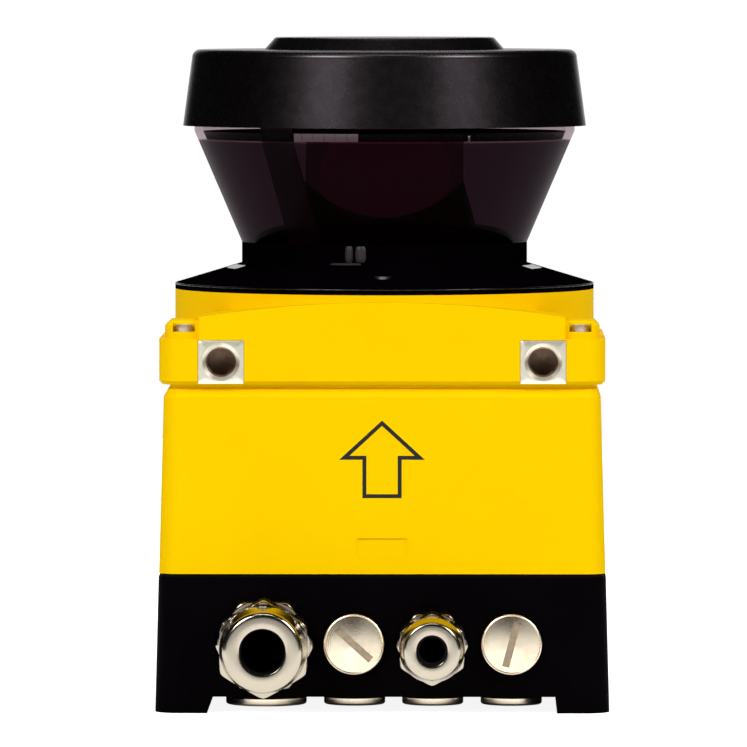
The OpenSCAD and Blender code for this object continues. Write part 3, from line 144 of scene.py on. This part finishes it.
def metal(name, colour, shade, rough, streak, streak_per_mm, bump_mm, spread=0.1, blotch=0.06):
    """Bare or plated metal: fine streaks along one direction and faint cloudy stains."""
    t = Tree(name)
    cloud = t.noise(blotch, 5, 0.6)
    fine = t.noise(streak_per_mm, 3, 0.6, streak)
    tone = t.mix(t.ramp(cloud, 0.3, 0.75), colour, shade)
    dull = t.ramp(fine, 0.25, 0.75, rough - spread / 2, rough + spread / 2)
    shader = t.principled(Base_Color=tone, Metallic=1.0, Normal=t.bump(fine, 0.4, bump_mm),
                          Roughness=t.calc("ADD", dull, t.ramp(cloud, 0.3, 0.7, -spread / 4, spread / 4)))
    return t.finish(shader)


def turned_metal(name, colour, shade, rough, pitch_mm=0.22, bump_mm=0.006):
    """Metal faced on a lathe: rings about the piece's own Z axis, which smear highlights into fans."""
    t = Tree(name)
    rings = t("ShaderNodeTexWave", {"Vector": t.per_mm(1.0), "Scale": 1 / pitch_mm / 20 * math.pi,
                                    "Distortion": 0.35, "Detail": 2.0, "Detail Scale": 0.6},
              wave_type="RINGS", rings_direction="Z", wave_profile="SIN").outputs["Fac"]
    cloud = t.noise(0.25, 4)
    shader = t.principled(Base_Color=t.mix(t.ramp(cloud, 0.3, 0.7), colour, shade), Metallic=1.0,
                          Roughness=t.ramp(cloud, 0.3, 0.7, rough - 0.04, rough + 0.05),
                          Normal=t.bump(rings, 0.5, bump_mm))
    shader.inputs["Anisotropic"].default_value = 0.75
    t.feed(shader.inputs["Tangent"],
           t("ShaderNodeTangent", direction_type="RADIAL", axis="Z").outputs[0])
    return t.finish(shader)


def matt_plating(name, bright, dull):
    """Matt plating, which scatters light as well as mirroring it."""
    t = Tree(name)
    cloud = t.noise(0.8, 4)
    shader = t.principled(Base_Color=t.mix(t.ramp(cloud, 0.3, 0.7), bright, dull), Metallic=0.15,
                          Roughness=t.ramp(cloud, 0.3, 0.7, 0.36, 0.46),
                          Normal=t.bump(t.noise(3.0), 0.4, 0.02))
    return t.finish(shader)


def circuit_board(name, mask, track, pad):
    """Solder mask with raised tracks under it and round pads through it."""
    t = Tree(name)
    cells = t("ShaderNodeTexVoronoi", {"Vector": t.per_mm(0.45), "Scale": 1.0, "Randomness": 0.55},
              distance="MANHATTAN", feature="DISTANCE_TO_EDGE").outputs["Distance"]
    dots = t("ShaderNodeTexVoronoi", {"Vector": t.per_mm(0.35), "Scale": 1.0,
                                      "Randomness": 0.9}).outputs["Distance"]
    lines = t.ramp(cells, 0.06, 0.1, 1, 0)
    pads = t.ramp(dots, 0.1, 0.14, 1, 0)
    shader = t.principled(Base_Color=t.mix(pads, t.mix(lines, mask, track), pad), Metallic=pads,
                          Roughness=t.ramp(lines, 0, 1, 0.32, 0.42),
                          Normal=t.bump(t.calc("MAXIMUM", lines, pads), 0.6, 0.03))
    return t.finish(shader)


def window_skin(name, tint, rim_tint, gloss, rim_from=127.4):
    """One face of the dark window, whose rim above the height rim_from lets more light through."""
    t = Tree(name)
    height = t("ShaderNodeSeparateXYZ", {0: t.place}).outputs["Z"]
    rim = t.ramp(height, (rim_from - 0.2) * MM, (rim_from + 0.2) * MM)
    smear = t.ramp(t.noise(0.04, 4), 0.3, 0.7)
    skin = t.principled(Base_Color=t.mix(smear, (0.003, 0.0006, 0.0018), (0.005, 0.001, 0.003)),
                        Roughness=t.ramp(smear, 0, 1, 0.035, 0.07))
    skin.inputs["IOR"].default_value = 1.5
    skin.inputs["Specular IOR Level"].default_value = gloss
    clear = t("ShaderNodeBsdfTransparent", {"Color": t.mix(rim, tint, rim_tint)})
    return t.finish(t("ShaderNodeMixShader", {0: t.ramp(rim, 0, 1, 0.2, 0.08), 1: clear.outputs[0],
                                              2: skin.outputs[0]}))


def striped(name, low, high, rough, along, waves, strength, depth_mm, metallic=0.0, wander=0.0, detail=2.0):
    """Even stripes across the axis along: the cores of a ribbon, sheets of a stack or turns of wire."""
    t = Tree(name)
    wave = t("ShaderNodeTexWave", {"Vector": t.per_mm(1.0), "Scale": waves, "Distortion": wander,
                                   "Detail": detail}, bands_direction=along).outputs["Fac"]
    return t.finish(t.principled(Base_Color=t.mix(wave, low, high), Metallic=metallic, Roughness=rough,
                                 Normal=t.bump(wave, strength, depth_mm)))


# Each row: colour, shade, roughness, grain per mm, grain depth in mm, gloss, coat, spread of roughness
PLASTICS = {
    "housing_yellow": ((255, 208, 0), (254, 205, 0), 0.5, 2.2, 0.012, 0.01),
    "box_black": ((3, 1, 3), (6, 4, 6), 0.55, 3.0, 0.03, 0.012),
    "cap_black": ((1, 0, 1), (2, 1, 2), 0.27, 3.2, 0.01, 0.68, 0.0, 0.04),
    "collar_black": ((3, 1, 3), (5, 3, 5), 0.25, 2.0, 0.003, 0.0),
    "edge_gloss": ((4, 2, 4), (7, 5, 7), 0.22, 2.0, 0.002, 0.5),
    "inner_black": ((12, 8, 11), (8, 6, 8), 0.5, 2.6, 0.02, 0.1),
    # head_black has inner_black's colours; a painted glow is added to it further down
    "head_black": ((12, 8, 11), (8, 6, 8), 0.5, 2.6, 0.02, 0.1),
    "key_grey": ((60, 53, 54), (42, 36, 38), 0.35, 2.4, 0.01, 0.2),
    "rubber": ((7, 6, 7), (11, 9, 10), 0.7, 2.4, 0.03, 0.1),
    # seal_yellow: the housing's yellow, made lighter as painted light that lifts the parting groove's shade
    "seal_yellow": ((255, 222, 0), (252, 216, 0), 0.6, 2.4, 0.02, 0.01),
    "terminal_green": ((44, 118, 62), (36, 100, 52), 0.45, 2.4, 0.015),
    "display_tint": ((8, 8, 10), (12, 11, 12), 0.08, 1.0, 0.001, 0.5),
    "lens_glass": ((190, 80, 120), (172, 70, 108), 0.1, 1.0, 0.0005, 0.4, 0.3),
    "target_grey": ((234, 228, 226), (216, 210, 208), 0.6, 3.0, 0.02),
    "print_black": ((14, 12, 8), (22, 18, 10), 0.5, 3.0, 0.01, 0.4),
    "print_white": ((253, 253, 252), (248, 248, 246), 0.4, 3.0, 0.01),
}
# Each row: colour, shade, roughness, stretch of the streaks, streaks per mm, their depth in mm,
# spread of roughness, stains per mm
METALS = {
    "nickel": ((185, 176, 160), (171, 162, 146), 0.17, (1, 1, 1), 2.0, 0.002, 0.06),
    "zinc": ((255, 250, 232), (238, 231, 210), 0.4, (1, 1, 1), 2.6, 0.02, 0.14, 0.5),
    "bore": ((176, 148, 126), (140, 116, 100), 0.45, (1, 1, 1), 2.4, 0.02, 0.1, 0.5),
    "steel": ((168, 170, 174), (138, 140, 145), 0.3, (1, 1, 6), 2.5, 0.006),
    "cast_alloy": ((172, 172, 170), (144, 144, 142), 0.46, (1, 1, 1), 2.2, 0.04),
    "brass": ((214, 178, 92), (178, 142, 66), 0.28, (1, 1, 5), 2.5, 0.006),
    "magnet": ((92, 92, 96), (70, 70, 74), 0.34, (1, 1, 1), 2.0, 0.01),
    "mirror_coat": ((236, 226, 214), (226, 214, 200), 0.05, (1, 1, 1), 0.6, 0.0004, 0.02),
}
DARK_TINT, RIM_TINT, CLEAR_TINT = (0.165, 0.104, 0.138), (0.66, 0.60, 0.62), (0.97, 0.95, 0.96)

looks = {
    "turned_nickel": turned_metal("turned_nickel", rgb(238, 226, 204), rgb(224, 210, 186), 0.24),
    # plated_screw: the plating's own white, made bluer and lighter as painted light against the slots' shade
    "plated_screw": matt_plating("plated_screw", rgb(238, 242, 255), rgb(212, 216, 230)),
    "groove_floor": matt_plating("groove_floor", rgb(208, 190, 164), rgb(176, 158, 136)),
    "board_green": circuit_board("board_green", rgb(18, 72, 40), rgb(34, 104, 58), rgb(196, 190, 170)),
    "window_tint": window_skin("window_tint", DARK_TINT, RIM_TINT, 0.05),
    "window_clear": window_skin("window_clear", CLEAR_TINT, CLEAR_TINT, 0.0),
    "ribbon": striped("ribbon", rgb(120, 100, 110), rgb(138, 118, 128), 0.38, "X", 0.45, 0.5, 0.05),
    "laminations": striped("laminations", rgb(96, 98, 104), rgb(148, 150, 156), 0.42, "Z", 0.9, 0.7, 0.06,
                           metallic=1.0, wander=0.1),
    "copper": striped("copper", rgb(140, 66, 30), rgb(202, 112, 62), 0.3, "Z", 0.8, 0.8, 0.08,
                      metallic=1.0, wander=0.6, detail=1.0),
}
for maker, rows in ((plastic, PLASTICS), (metal, METALS)):
    for name, (colour, shade, *rest) in rows.items():
        looks[name] = maker(name, rgb(*colour), rgb(*shade), *rest)


def principled_of(name):
    return looks[name].node_tree.nodes["Principled BSDF"]


principled_of("cap_black").inputs["Specular Tint"].default_value = (1.0, 0.85, 0.93, 1)
# Painted glow standing in for stray light inside the head, which the mirror shows
for name, glow in (("lens_glass", (0.48, 0.055, 0.22, 1)), ("head_black", (0.42, 0.07, 0.24, 1))):
    principled_of(name).inputs["Emission Color"].default_value = glow
    principled_of(name).inputs["Emission Strength"].default_value = 0.1

# The record's slot gives each node its look, with four exceptions
look_of = {row["node"]: row["material_slot"] for row in frame["record"]["subparts"]}
look_of.update(housing_gasket="seal_yellow", housing_screws="plated_screw", laser_module="lens_glass",
               optics_head="head_black")
for name, obj in nodes.items():
    obj.data.materials.clear()
    obj.data.materials.append(looks[look_of[name]])


# ---- meshes ----

STEPS = 96                                            # points round a turned piece
REAR, DOWN = (math.pi / 2, 0, 0), (math.pi, 0, 0)     # turn local +Z to -Y, or to -Z


def box_mm(node):
    """Lowest and highest corner of a CAD node, in millimetres."""
    return [Vector(corner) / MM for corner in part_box(node)]


def middle(node):
    low, high = box_mm(node)
    return (low + high) / 2


def mesh_piece(name, verts, faces, mats, slots=None, smooth_deg=35, place=(0, 0, 0), turn=(0, 0, 0)):
    """Object from vertices in millimetres; slots gives each face's material number."""
    mesh = bpy.data.meshes.new(name)
    mesh.from_pydata([tuple(c * MM for c in v) for v in verts], [], faces)
    for mat in mats:
        mesh.materials.append(mat)
    if slots:
        mesh.polygons.foreach_set("material_index", slots)
    bm = bmesh.new()
    bm.from_mesh(mesh)
    bmesh.ops.recalc_face_normals(bm, faces=bm.faces)
    limit = math.radians(smooth_deg)
    for face in bm.faces:
        face.smooth = True
    for edge in bm.edges:
        edge.smooth = len(edge.link_faces) == 2 and edge.calc_face_angle(0) < limit
    bm.to_mesh(mesh)
    bm.free()
    obj = bpy.data.objects.new(name, mesh)
    scene.collection.objects.link(obj)
    obj.location = tuple(c * MM for c in place)
    obj.rotation_euler = turn
    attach(obj, "housing")
    return obj


def round_point(ring, a):
    """Point at the angle a of a round ring (z, r)."""
    z, r = ring
    return (r * math.cos(a), r * math.sin(a), z)


def turned(name, rings, mats, point=round_point, closed=True, **more):
    """Skin over rings of STEPS points; point(ring, angle) gives (x, y, z); closed joins last to first."""
    verts, faces = [], []
    for ring in rings:
        verts += [point(ring, 2 * math.pi * i / STEPS) for i in range(STEPS)]
    count = len(rings)
    for j in range(count if closed else count - 1):
        for i in range(STEPS):
            k = (i + 1) % STEPS
            a, b = j * STEPS, (j + 1) % count * STEPS
            faces.append((a + i, a + k, b + k, b + i))
    if not closed:
        faces.append(tuple(range(STEPS)))
        faces.append(tuple(range((count - 1) * STEPS, count * STEPS)))
    return mesh_piece(name, verts, faces, mats, **more)


# ---- glands and blanking plugs ----

SEAT_Y = box_mm("large_gland_sleeve")[1].y            # face that the rear entries sit on
ENTRY_Z = middle("large_gland_nut").z
BOTTOM_Y = middle("large_blanking_plug").y
REAR_THREAD = box_mm("large_gland_body")[1].y - SEAT_Y    # length of thread inside the box
BOTTOM_THREAD = 3.8
BOTTOM_Z = box_mm("large_blanking_plug")[1].z - BOTTOM_THREAD
ENTRY_X = {"large": middle("large_gland_nut").x, "inner": -6.3,
           "small": middle("small_gland_nut").x, "outer": 29.0}
M12, M16 = 6.0, 8.0                                   # thread radii
PITCH, THREAD_DEPTH, RINGS_PER_TURN = 1.5, 0.5, 6
HEX_CHAMFER = 0.6                                     # turned off each corner of a hexagon
HEX_WIDEN = 1.02                                      # makes up for soft_min, which draws the flats in
BODY_HEX = (0.85, 7.4)                                # heights of the body's hexagon above the seat
BODY_END = SEAT_Y - box_mm("large_gland_body")[0].y
NUT_FROM, NUT_HEX_L = SEAT_Y - box_mm("large_gland_nut")[1].y, 10.5
MOUTH_DEPTH = 1.4                                     # from the nut's front to the rubber sleeve


def soft_min(a, b, sharp=4.5):
    """Smaller of two lengths, with the corner between them rounded."""
    low = min(a, b)
    return low - math.log(math.exp(-sharp * (a - low)) + math.exp(-sharp * (b - low))) / sharp


def thread(z0, z1, radius):
    """Rings (z, r) of a thread's profile."""
    count = max(2, int((z1 - z0) / PITCH * RINGS_PER_TURN))
    heights = [z0 + (z1 - z0) * i / count for i in range(count + 1)]
    return [(z, radius - THREAD_DEPTH * abs(2 * ((z / PITCH) % 1) - 1)) for z in heights]


def hex_rings(z0, z1, key):
    """Rings (z, corner radius, key) of a hexagon whose two ends are turned off at 30 degrees."""
    corner = key / math.sqrt(3)
    face = corner - HEX_CHAMFER
    rise = HEX_CHAMFER / math.sqrt(3)
    end = [(0, face - 0.15), (0.12, face)]
    end += [(rise * f, face + HEX_CHAMFER * f) for f in (0.4, 0.8)] + [(rise * 1.3, corner)]
    low = [(z0 + up, r) for up, r in end]
    high = [(z1 - up, r) for up, r in reversed(end)]
    sides = [(z0 + (z1 - z0) * f, corner) for f in (0.4, 0.6)]
    return [(z, r, key * HEX_WIDEN) for z, r in low + sides + high]


def hex_point(turn):
    """Point of a ring (z, r) or (z, r, key) whose hexagon has a corner at the angle turn."""
    def point(ring, a):
        z, r = ring[:2]
        if len(ring) > 2:
            off = (a - turn) % (math.pi / 3) - math.pi / 6
            r = soft_min(r, ring[2] / 2 / math.cos(off))
        return round_point((z, r), a)
    return point


def quarter_round(z, r, radius, count):
    """Points (z, r) of a rounded edge, from the side of radius r at height z to just short of its top."""
    angles = [math.pi / 2 * i / count for i in range(count)]
    return [(z + radius * math.sin(a), r - radius + radius * math.cos(a)) for a in angles]


def gland(size, thread_r, bore):
    """Hexagonal body and domed nut of a cable gland, on its own axis."""
    low, high = box_mm(size + "_gland_nut")
    key, reach = high.x - low.x, SEAT_Y - low.y
    place = (ENTRY_X[size], SEAT_Y, ENTRY_Z)
    inner = thread_r - 1.5
    body = thread(-REAR_THREAD, 0.6, thread_r - 0.05) + [(0.8, thread_r - 0.1)] + hex_rings(*BODY_HEX, key)
    body += thread(BODY_HEX[1] + 0.1, BODY_END, thread_r - 0.1) + [(BODY_END, inner), (-REAR_THREAD, inner)]
    obj = turned(size + "_gland_body_shaped", body, [looks["nickel"]], hex_point(0.0), place=place, turn=REAR)
    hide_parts(size + "_gland_body")

    nut_to = NUT_FROM + NUT_HEX_L
    shoulder, dome = key / 2 + 0.25, key / 2 - 0.55   # the front tapers before it is rounded
    edge = key / 15
    nut = [(NUT_FROM, thread_r)] + hex_rings(NUT_FROM, nut_to, key)
    nut += [(nut_to + 0.1, shoulder - 0.2), (nut_to + 0.25, shoulder - 0.2), (nut_to + 0.35, shoulder)]
    nut += quarter_round(reach - edge, dome, edge, 10)
    nut += [(reach, dome - edge), (reach + 0.03, dome - edge - 0.3), (reach + 0.03, bore + 0.5),
            (reach, bore + 0.2), (reach - 0.06, bore + 0.06), (reach - 0.2, bore),
            (reach - MOUTH_DEPTH, bore), (reach - MOUTH_DEPTH, thread_r)]
    obj = turned(size + "_gland_nut_shaped", nut, [looks["nickel"]], hex_point(math.pi / 2), place=place,
                 turn=REAR)
    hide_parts(size + "_gland_nut")


gland("large", M16, 5.15)
gland("small", M12, 3.45)


def coin_groove(half_l, half_w, floor, top, turn_deg):
    """Mesh of the block that cuts a plug's groove."""
    c, s = math.cos(math.radians(turn_deg)), math.sin(math.radians(turn_deg))
    corners = [(u * c - v * s, u * s + v * c) for u, v in
               ((-half_l, -half_w), (half_l, -half_w), (half_l, half_w), (-half_l, half_w))]
    mesh = bpy.data.meshes.new("cutter")
    mesh.from_pydata([(x * MM, y * MM, z * MM) for z in (floor, top) for x, y in corners], [],
                     [(3, 2, 1, 0), (4, 5, 6, 7), (0, 1, 5, 4), (1, 2, 6, 5), (2, 3, 7, 6), (3, 0, 4, 7)])
    mesh.materials.append(looks["groove_floor"])
    return mesh


def cut_away(obj, cutter_mesh):
    """Takes the cutter out of obj and keeps the result in its mesh."""
    cutter = bpy.data.objects.new("cutter", cutter_mesh)
    scene.collection.objects.link(cutter)
    cutter.matrix_world = obj.matrix_basis
    cut = obj.modifiers.new("groove", "BOOLEAN")
    cut.operation, cut.object, cut.solver = "DIFFERENCE", cutter, "EXACT"
    bpy.context.view_layer.update()
    seen = obj.evaluated_get(bpy.context.evaluated_depsgraph_get())
    shaped = bpy.data.meshes.new_from_object(seen)
    obj.modifiers.clear()
    obj.data = shaped
    bpy.data.objects.remove(cutter)


def blanking_plug(name, node, thread_r, head_r, thread_l, groove_deg, place, turn):
    """Turned plug with a slightly domed head, a thread and a groove for a coin."""
    head_h, side_h, edge, sag, groove_depth = 2.6, 2.0, 0.55, 0.54, 1.1
    rings = [(-thread_l, 0.4), (-thread_l, thread_r - 0.8)]
    rings += thread(-thread_l + 0.3, 0.5, thread_r - 0.1)
    rings += [(0.8, thread_r - 0.1), (0.8, head_r - 0.15), (0.95, head_r)]
    rings += quarter_round(side_h, head_r, edge, 6)
    rings += [(head_h - sag * (r / head_r) ** 2, r)
              for r in [(head_r - 0.6) * f for f in (1, 0.85, 0.7, 0.55, 0.4, 0.25, 0.1, 0.02)]]
    obj = turned(name, rings, [looks["turned_nickel"], looks["groove_floor"]], closed=False, place=place,
                 turn=turn)
    cut_away(obj, coin_groove(0.75 * head_r, 0.8, head_h - groove_depth, head_h + 1, groove_deg))
    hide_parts(node)


for where, groove in (("inner", -42), ("outer", 75)):
    blanking_plug("rear_plug_" + where, "small_blanking_plugs", M12, 6.9, REAR_THREAD, groove,
                  (ENTRY_X[where], SEAT_Y, ENTRY_Z), REAR)
for where in ("inner", "small", "outer"):
    blanking_plug("bottom_plug_" + where, "small_blanking_plugs", M12, 6.9, BOTTOM_THREAD, 30,
                  (ENTRY_X[where], BOTTOM_Y, BOTTOM_Z), DOWN)
blanking_plug("bottom_plug_large", "large_blanking_plug", M16, 9.1, BOTTOM_THREAD, 0,
              (ENTRY_X["large"], BOTTOM_Y, BOTTOM_Z), DOWN)


# ---- mounting blocks ----

def square_point(width, height, cut, a):
    """Point at the angle a of a rectangle drawn in by cut, whose sides hold evenly spread points."""
    across, up = math.cos(a), math.sin(a)
    longer = max(abs(across), abs(up))
    return [side / 2 * v / longer - math.copysign(cut, v) * min(1, abs(v) * 1.5)
            for side, v in ((width, across), (height, up))]


def mount_block(node, turn):
    """Plated block with broken edges and a real helical M8 thread in its bore."""
    core, bore_depth, pitch, crest, sunk, steps_per_turn = 3.4, 9.0, 1.25, 0.55, 0.35, 8
    chamfer_l, tip_l = 0.8, 1.2
    spin = Euler(turn).to_matrix()
    low, high = box_mm(node)
    width, height, depth = (abs(spin.col[k].dot(high - low)) for k in range(3))
    rings = [("round", -depth, 0.5), ("square", -depth, 0.3), ("square", -depth + 0.3, 0),
             ("square", -0.3, 0), ("square", -0.12, 0.08), ("square", 0, 0.3),
             ("round", 0, core + 0.8), ("round", -0.08, core + 0.7), ("round", -chamfer_l, core - 0.02)]
    outside = len(rings) - 1
    count = int((bore_depth - tip_l) / pitch * steps_per_turn)
    rings += [("thread", -chamfer_l - i * pitch / steps_per_turn, core) for i in range(1, count)]
    rings += [("round", -bore_depth, core), ("round", -bore_depth - tip_l, 0.4)]

    def point(ring, a):
        kind, z, r = ring
        if kind == "square":
            return (*square_point(width, height, r, a), z)
        if kind == "thread":
            wave = (-z / pitch + a / 2 / math.pi) % 1
            r += crest * (1 - abs(2 * wave - 1)) - sunk
        return round_point((z, r), a)

    slots = [int(j >= outside) for j in range(len(rings) - 1) for i in range(STEPS)] + [0, 1]
    obj = turned(node + "_threaded", rings, [looks["zinc"], looks["bore"]], point, closed=False, slots=slots,
                 place=middle(node) + spin.col[2] * depth / 2, turn=turn)
    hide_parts(node)


mount_block("rear_mount_left", REAR)
mount_block("rear_mount_right", REAR)
mount_block("side_mount_left", (0, -math.pi / 2, 0))
mount_block("side_mount_right", (0, math.pi / 2, 0))


# ---- collar and window ----

AXIS_Y = middle("collar").y                           # the mirror's axis
SKIRT_R, SKIRT_TOP = 48.0, 94.8                       # lower end of the collar's cone
NECK_R, NECK_FOOT = 32.7, 99.4                        # and its upper end
NECK_TOP = box_mm("collar")[1].z
WINDOW_FOOT, WINDOW_TOP = (corner.z for corner in box_mm("optics_window"))
WINDOW_R = box_mm("optics_window")[1].x
WALL, CONE_TOP = 2.0, 129.6                           # above CONE_TOP the window's rim is upright
FOOT_R = 30.4                                         # inner radius of the window's foot


def cone_mark(name, middle_deg, r_in=34.2, r_out=36.4, half_mm=4.4, lift=0.12, sunk=0.1):
    """Painted mark on the collar's cone, at one end of the window's blind side."""
    slope = (NECK_FOOT - SKIRT_TOP) / (SKIRT_R - NECK_R)
    verts, faces = [], []
    across, along = 8, 24
    for i in range(across + 1):
        r = r_in + (r_out - r_in) * i / across
        z = NECK_FOOT - (r - NECK_R) * slope
        for j in range(along + 1):
            a = math.radians(middle_deg) + (j / along * 2 - 1) * half_mm / r
            x, y = r * math.cos(a), AXIS_Y + r * math.sin(a)
            verts += [(x, y, z + lift), (x, y, z - sunk)]
    row = 2 * (along + 1)
    for i in range(across):
        for j in range(along):
            a = i * row + 2 * j
            faces.append((a, a + 2, a + row + 2, a + row))
            faces.append((a + 1, a + row + 1, a + row + 3, a + 3))
    rims = [(end + 2 * j, end + 2 * j + 2) for j in range(along) for end in (0, across * row)]
    rims += [(i * row + end, (i + 1) * row + end) for i in range(across) for end in (0, 2 * along)]
    faces += [(a, b, b + 1, a + 1) for a, b in rims]
    mesh_piece(name, verts, faces, [looks["print_white"]])


cone_mark("cone_mark_left", 195)
cone_mark("cone_mark_right", 345)


def about_axis(name, profile, mats, **more):
    """Closed profile of (z, radius) turned about the mirror's axis."""
    return turned(name, profile, mats, place=(0, AXIS_Y, 0), **more)


def cone_r(z):
    """Outer radius of the window's cone at the height z."""
    return NECK_R + (z - NECK_TOP) * (WINDOW_R - NECK_R) / (CONE_TOP - NECK_TOP)


def window():
    """Window with a tinted outer skin and a clear inner one."""
    outer = [(NECK_TOP, NECK_R), (116.0, cone_r(116.0)), (129.2, cone_r(129.2)), (129.45, WINDOW_R - 0.07),
             (129.75, WINDOW_R), (WINDOW_TOP - 0.2, WINDOW_R), (WINDOW_TOP, WINDOW_R - 0.2)]
    foot = [(WINDOW_FOOT, FOOT_R), (WINDOW_FOOT, FOOT_R + 1.1), (NECK_TOP, FOOT_R + 1.1)]
    inner_r = WINDOW_R - WALL
    inner = [(WINDOW_TOP, inner_r + 0.2), (WINDOW_TOP - 0.2, inner_r), (CONE_TOP, inner_r),
             (NECK_TOP, NECK_R - WALL), (NECK_TOP - 0.5, FOOT_R)]
    profile = foot + outer + inner
    tinted = range(len(foot), len(foot) + len(outer) - 1)
    slots = [int(j not in tinted) for j in range(len(profile)) for i in range(STEPS)]
    obj = about_axis("window_shaped", profile, [looks["window_tint"], looks["window_clear"]], slots=slots,
                     smooth_deg=50)
    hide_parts("optics_window")


def bead(radius=0.22, sides=12):
    """Fine glossy edge where the collar's skirt meets its cone."""
    angles = [2 * math.pi * i / sides for i in range(sides)]
    profile = [(SKIRT_TOP - 0.14 + radius * math.sin(a), SKIRT_R - 0.18 + radius * math.cos(a))
               for a in angles]
    about_axis("collar_edge", profile, [looks["edge_gloss"]])


window()
bead()


def upright_bar(name, x0, x1, z0, z1, back_y, reach):
    """Half-round bar against the neck, with rounded ends."""
    rings = [(0.0, 0.75), (0.12, 0.92), (0.3, 1.0), (0.7, 1.0), (0.88, 0.92), (1.0, 0.75)]
    verts, faces, across = [], [], 12
    for f, k in rings:
        for i in range(across + 1):
            a = math.pi * i / across
            verts.append(((x0 + x1) / 2 - (x1 - x0) / 2 * k * math.cos(a),
                          back_y - reach * k * math.sin(a) ** 0.7, z0 + (z1 - z0) * f))
    row = across + 1
    for j in range(len(rings) - 1):
        for i in range(across):
            a = j * row + i
            faces.append((a, a + 1, a + 1 + row, a + row))
        faces.append((j * row + across, j * row, (j + 1) * row, (j + 1) * row + across))
    faces.append(tuple(range(row)))
    faces.append(tuple(range((len(rings) - 1) * row, len(rings) * row)))
    mesh_piece(name, verts, faces, [looks["key_grey"]], smooth_deg=50)


upright_bar("cover_key_left", x0=-8.6, x1=-6.7, z0=100.3, z1=104.0, back_y=-19.3, reach=1.3)
upright_bar("cover_key_right", x0=-6.3, x1=-3.6, z0=100.3, z1=104.0, back_y=-19.6, reach=1.2)
upright_bar("cover_key_foot", x0=-12.0, x1=-3.4, z0=99.55, z1=100.2, back_y=-18.4, reach=2.2)


# ---- camera, lights, world and floor, in metres ----

CAM_BACK, CAM_HEIGHT, CAM_SIDE = 1.940, 0.164, 0.021
CAM_PITCH, CAM_YAW = 0.04618, 0.01205
LENS = 410.0

cam = bpy.data.objects.new("camera", bpy.data.cameras.new("camera"))
scene.collection.objects.link(cam)
cam.data.lens = LENS
cam.data.clip_start, cam.data.clip_end = 0.1, 20
cam.location = (CAM_SIDE, -CAM_BACK, CAM_HEIGHT)
cam.rotation_euler = (math.pi / 2 - CAM_PITCH, 0, CAM_YAW)
scene.camera = cam


def softbox(name, azimuth, elevation, distance, width, height, power):
    """Area lamp aimed at the object's middle; azimuth 0 is the camera's side, positive to the right."""
    lamp = bpy.data.objects.new(name, bpy.data.lights.new(name, "AREA"))
    scene.collection.objects.link(lamp)
    lamp.data.shape = "RECTANGLE"
    lamp.data.size, lamp.data.size_y, lamp.data.energy = width, height, power
    a, e = math.radians(azimuth), math.radians(elevation)
    away = Vector((math.sin(a) * math.cos(e), -math.cos(a) * math.cos(e), math.sin(e)))
    lamp.location = Vector((0, 0, 0.08)) + away * distance
    lamp.rotation_euler = away.to_track_quat("Z", "Y").to_euler()


softbox("left_box", -36, 34, 1.3, 0.5, 0.5, 8.0)
softbox("right_box", 50, 34, 1.3, 0.5, 0.5, 7.1)
softbox("back_box", 180, 60, 1.3, 0.8, 0.6, 3)
softbox("top_box", 0, 62, 1.4, 0.7, 0.25, 1.6)


def studio_world():
    """Mirrors see white behind the object, a bright card round the camera and little else."""
    ambient, mirrored_ambient, card_level = 0.30, 0.008, 0.68
    world = bpy.data.worlds.new("studio")
    t = Tree("studio", world)
    direction = t("ShaderNodeSeparateXYZ", {0: t("ShaderNodeTexCoord").outputs["Generated"]}).outputs
    ray = t("ShaderNodeLightPath").outputs
    behind = t.ramp(direction["Y"], 0.93, 0.99)
    card = t.calc("MULTIPLY", t.ramp(direction["Y"], -0.7, -0.85, 0.0, card_level),
                  t.ramp(direction["Z"], 0.12, 0.02))
    mirrored = t.calc("MAXIMUM", ray["Is Glossy Ray"], ray["Is Transmission Ray"])
    reflected = t.calc("MULTIPLY", mirrored, t.calc("MAXIMUM", behind, card))
    level = t.calc("MAXIMUM", reflected, t.ramp(mirrored, 0, 1, ambient, mirrored_ambient))
    scene.world = t.finish(t("ShaderNodeBackground", {
        "Color": (1, 1, 1, 1), "Strength": t.calc("MAXIMUM", level, ray["Is Camera Ray"])}))


def backdrop():
    """White floor, which keeps the object's shadow; the world behind it is white too."""
    reach, front, side = 1.1, -0.3, 0.4
    mesh = bpy.data.meshes.new("backdrop")
    mesh.from_pydata([(-side, front, 0), (side, front, 0), (side, reach, 0), (-side, reach, 0)], [],
                     [(0, 1, 2, 3)])
    obj = bpy.data.objects.new("backdrop", mesh)
    scene.collection.objects.link(obj)
    t = Tree("backdrop")
    ray = t("ShaderNodeLightPath").outputs
    place = t("ShaderNodeSeparateXYZ", {0: t.place}).outputs
    # Painted shade: mirrors see the floor's glow only away from the box, so it shows darker close to it
    aside = t.ramp(t.calc("ABSOLUTE", place["X"], 0.0), 0.08, 0.1)
    away = t.calc("MAXIMUM", t.ramp(place["Y"], -0.038, -0.052), aside)     # dark close to the box
    mirrored = t.calc("MULTIPLY", ray["Is Glossy Ray"], away)
    seen = t.calc("MAXIMUM", t.calc("MAXIMUM", ray["Is Camera Ray"], mirrored), ray["Is Transmission Ray"])
    plain = t("ShaderNodeBsdfDiffuse", {"Color": (0.8, 0.8, 0.8, 1)})
    glow = t("ShaderNodeEmission", {"Color": (1, 1, 1, 1), "Strength": t.calc("MULTIPLY", seen, 0.9)})
    mesh.materials.append(t.finish(t("ShaderNodeAddShader", {0: plain.outputs[0], 1: glow.outputs[0]})))


studio_world()
backdrop()
scene.view_settings.view_transform = "Standard"
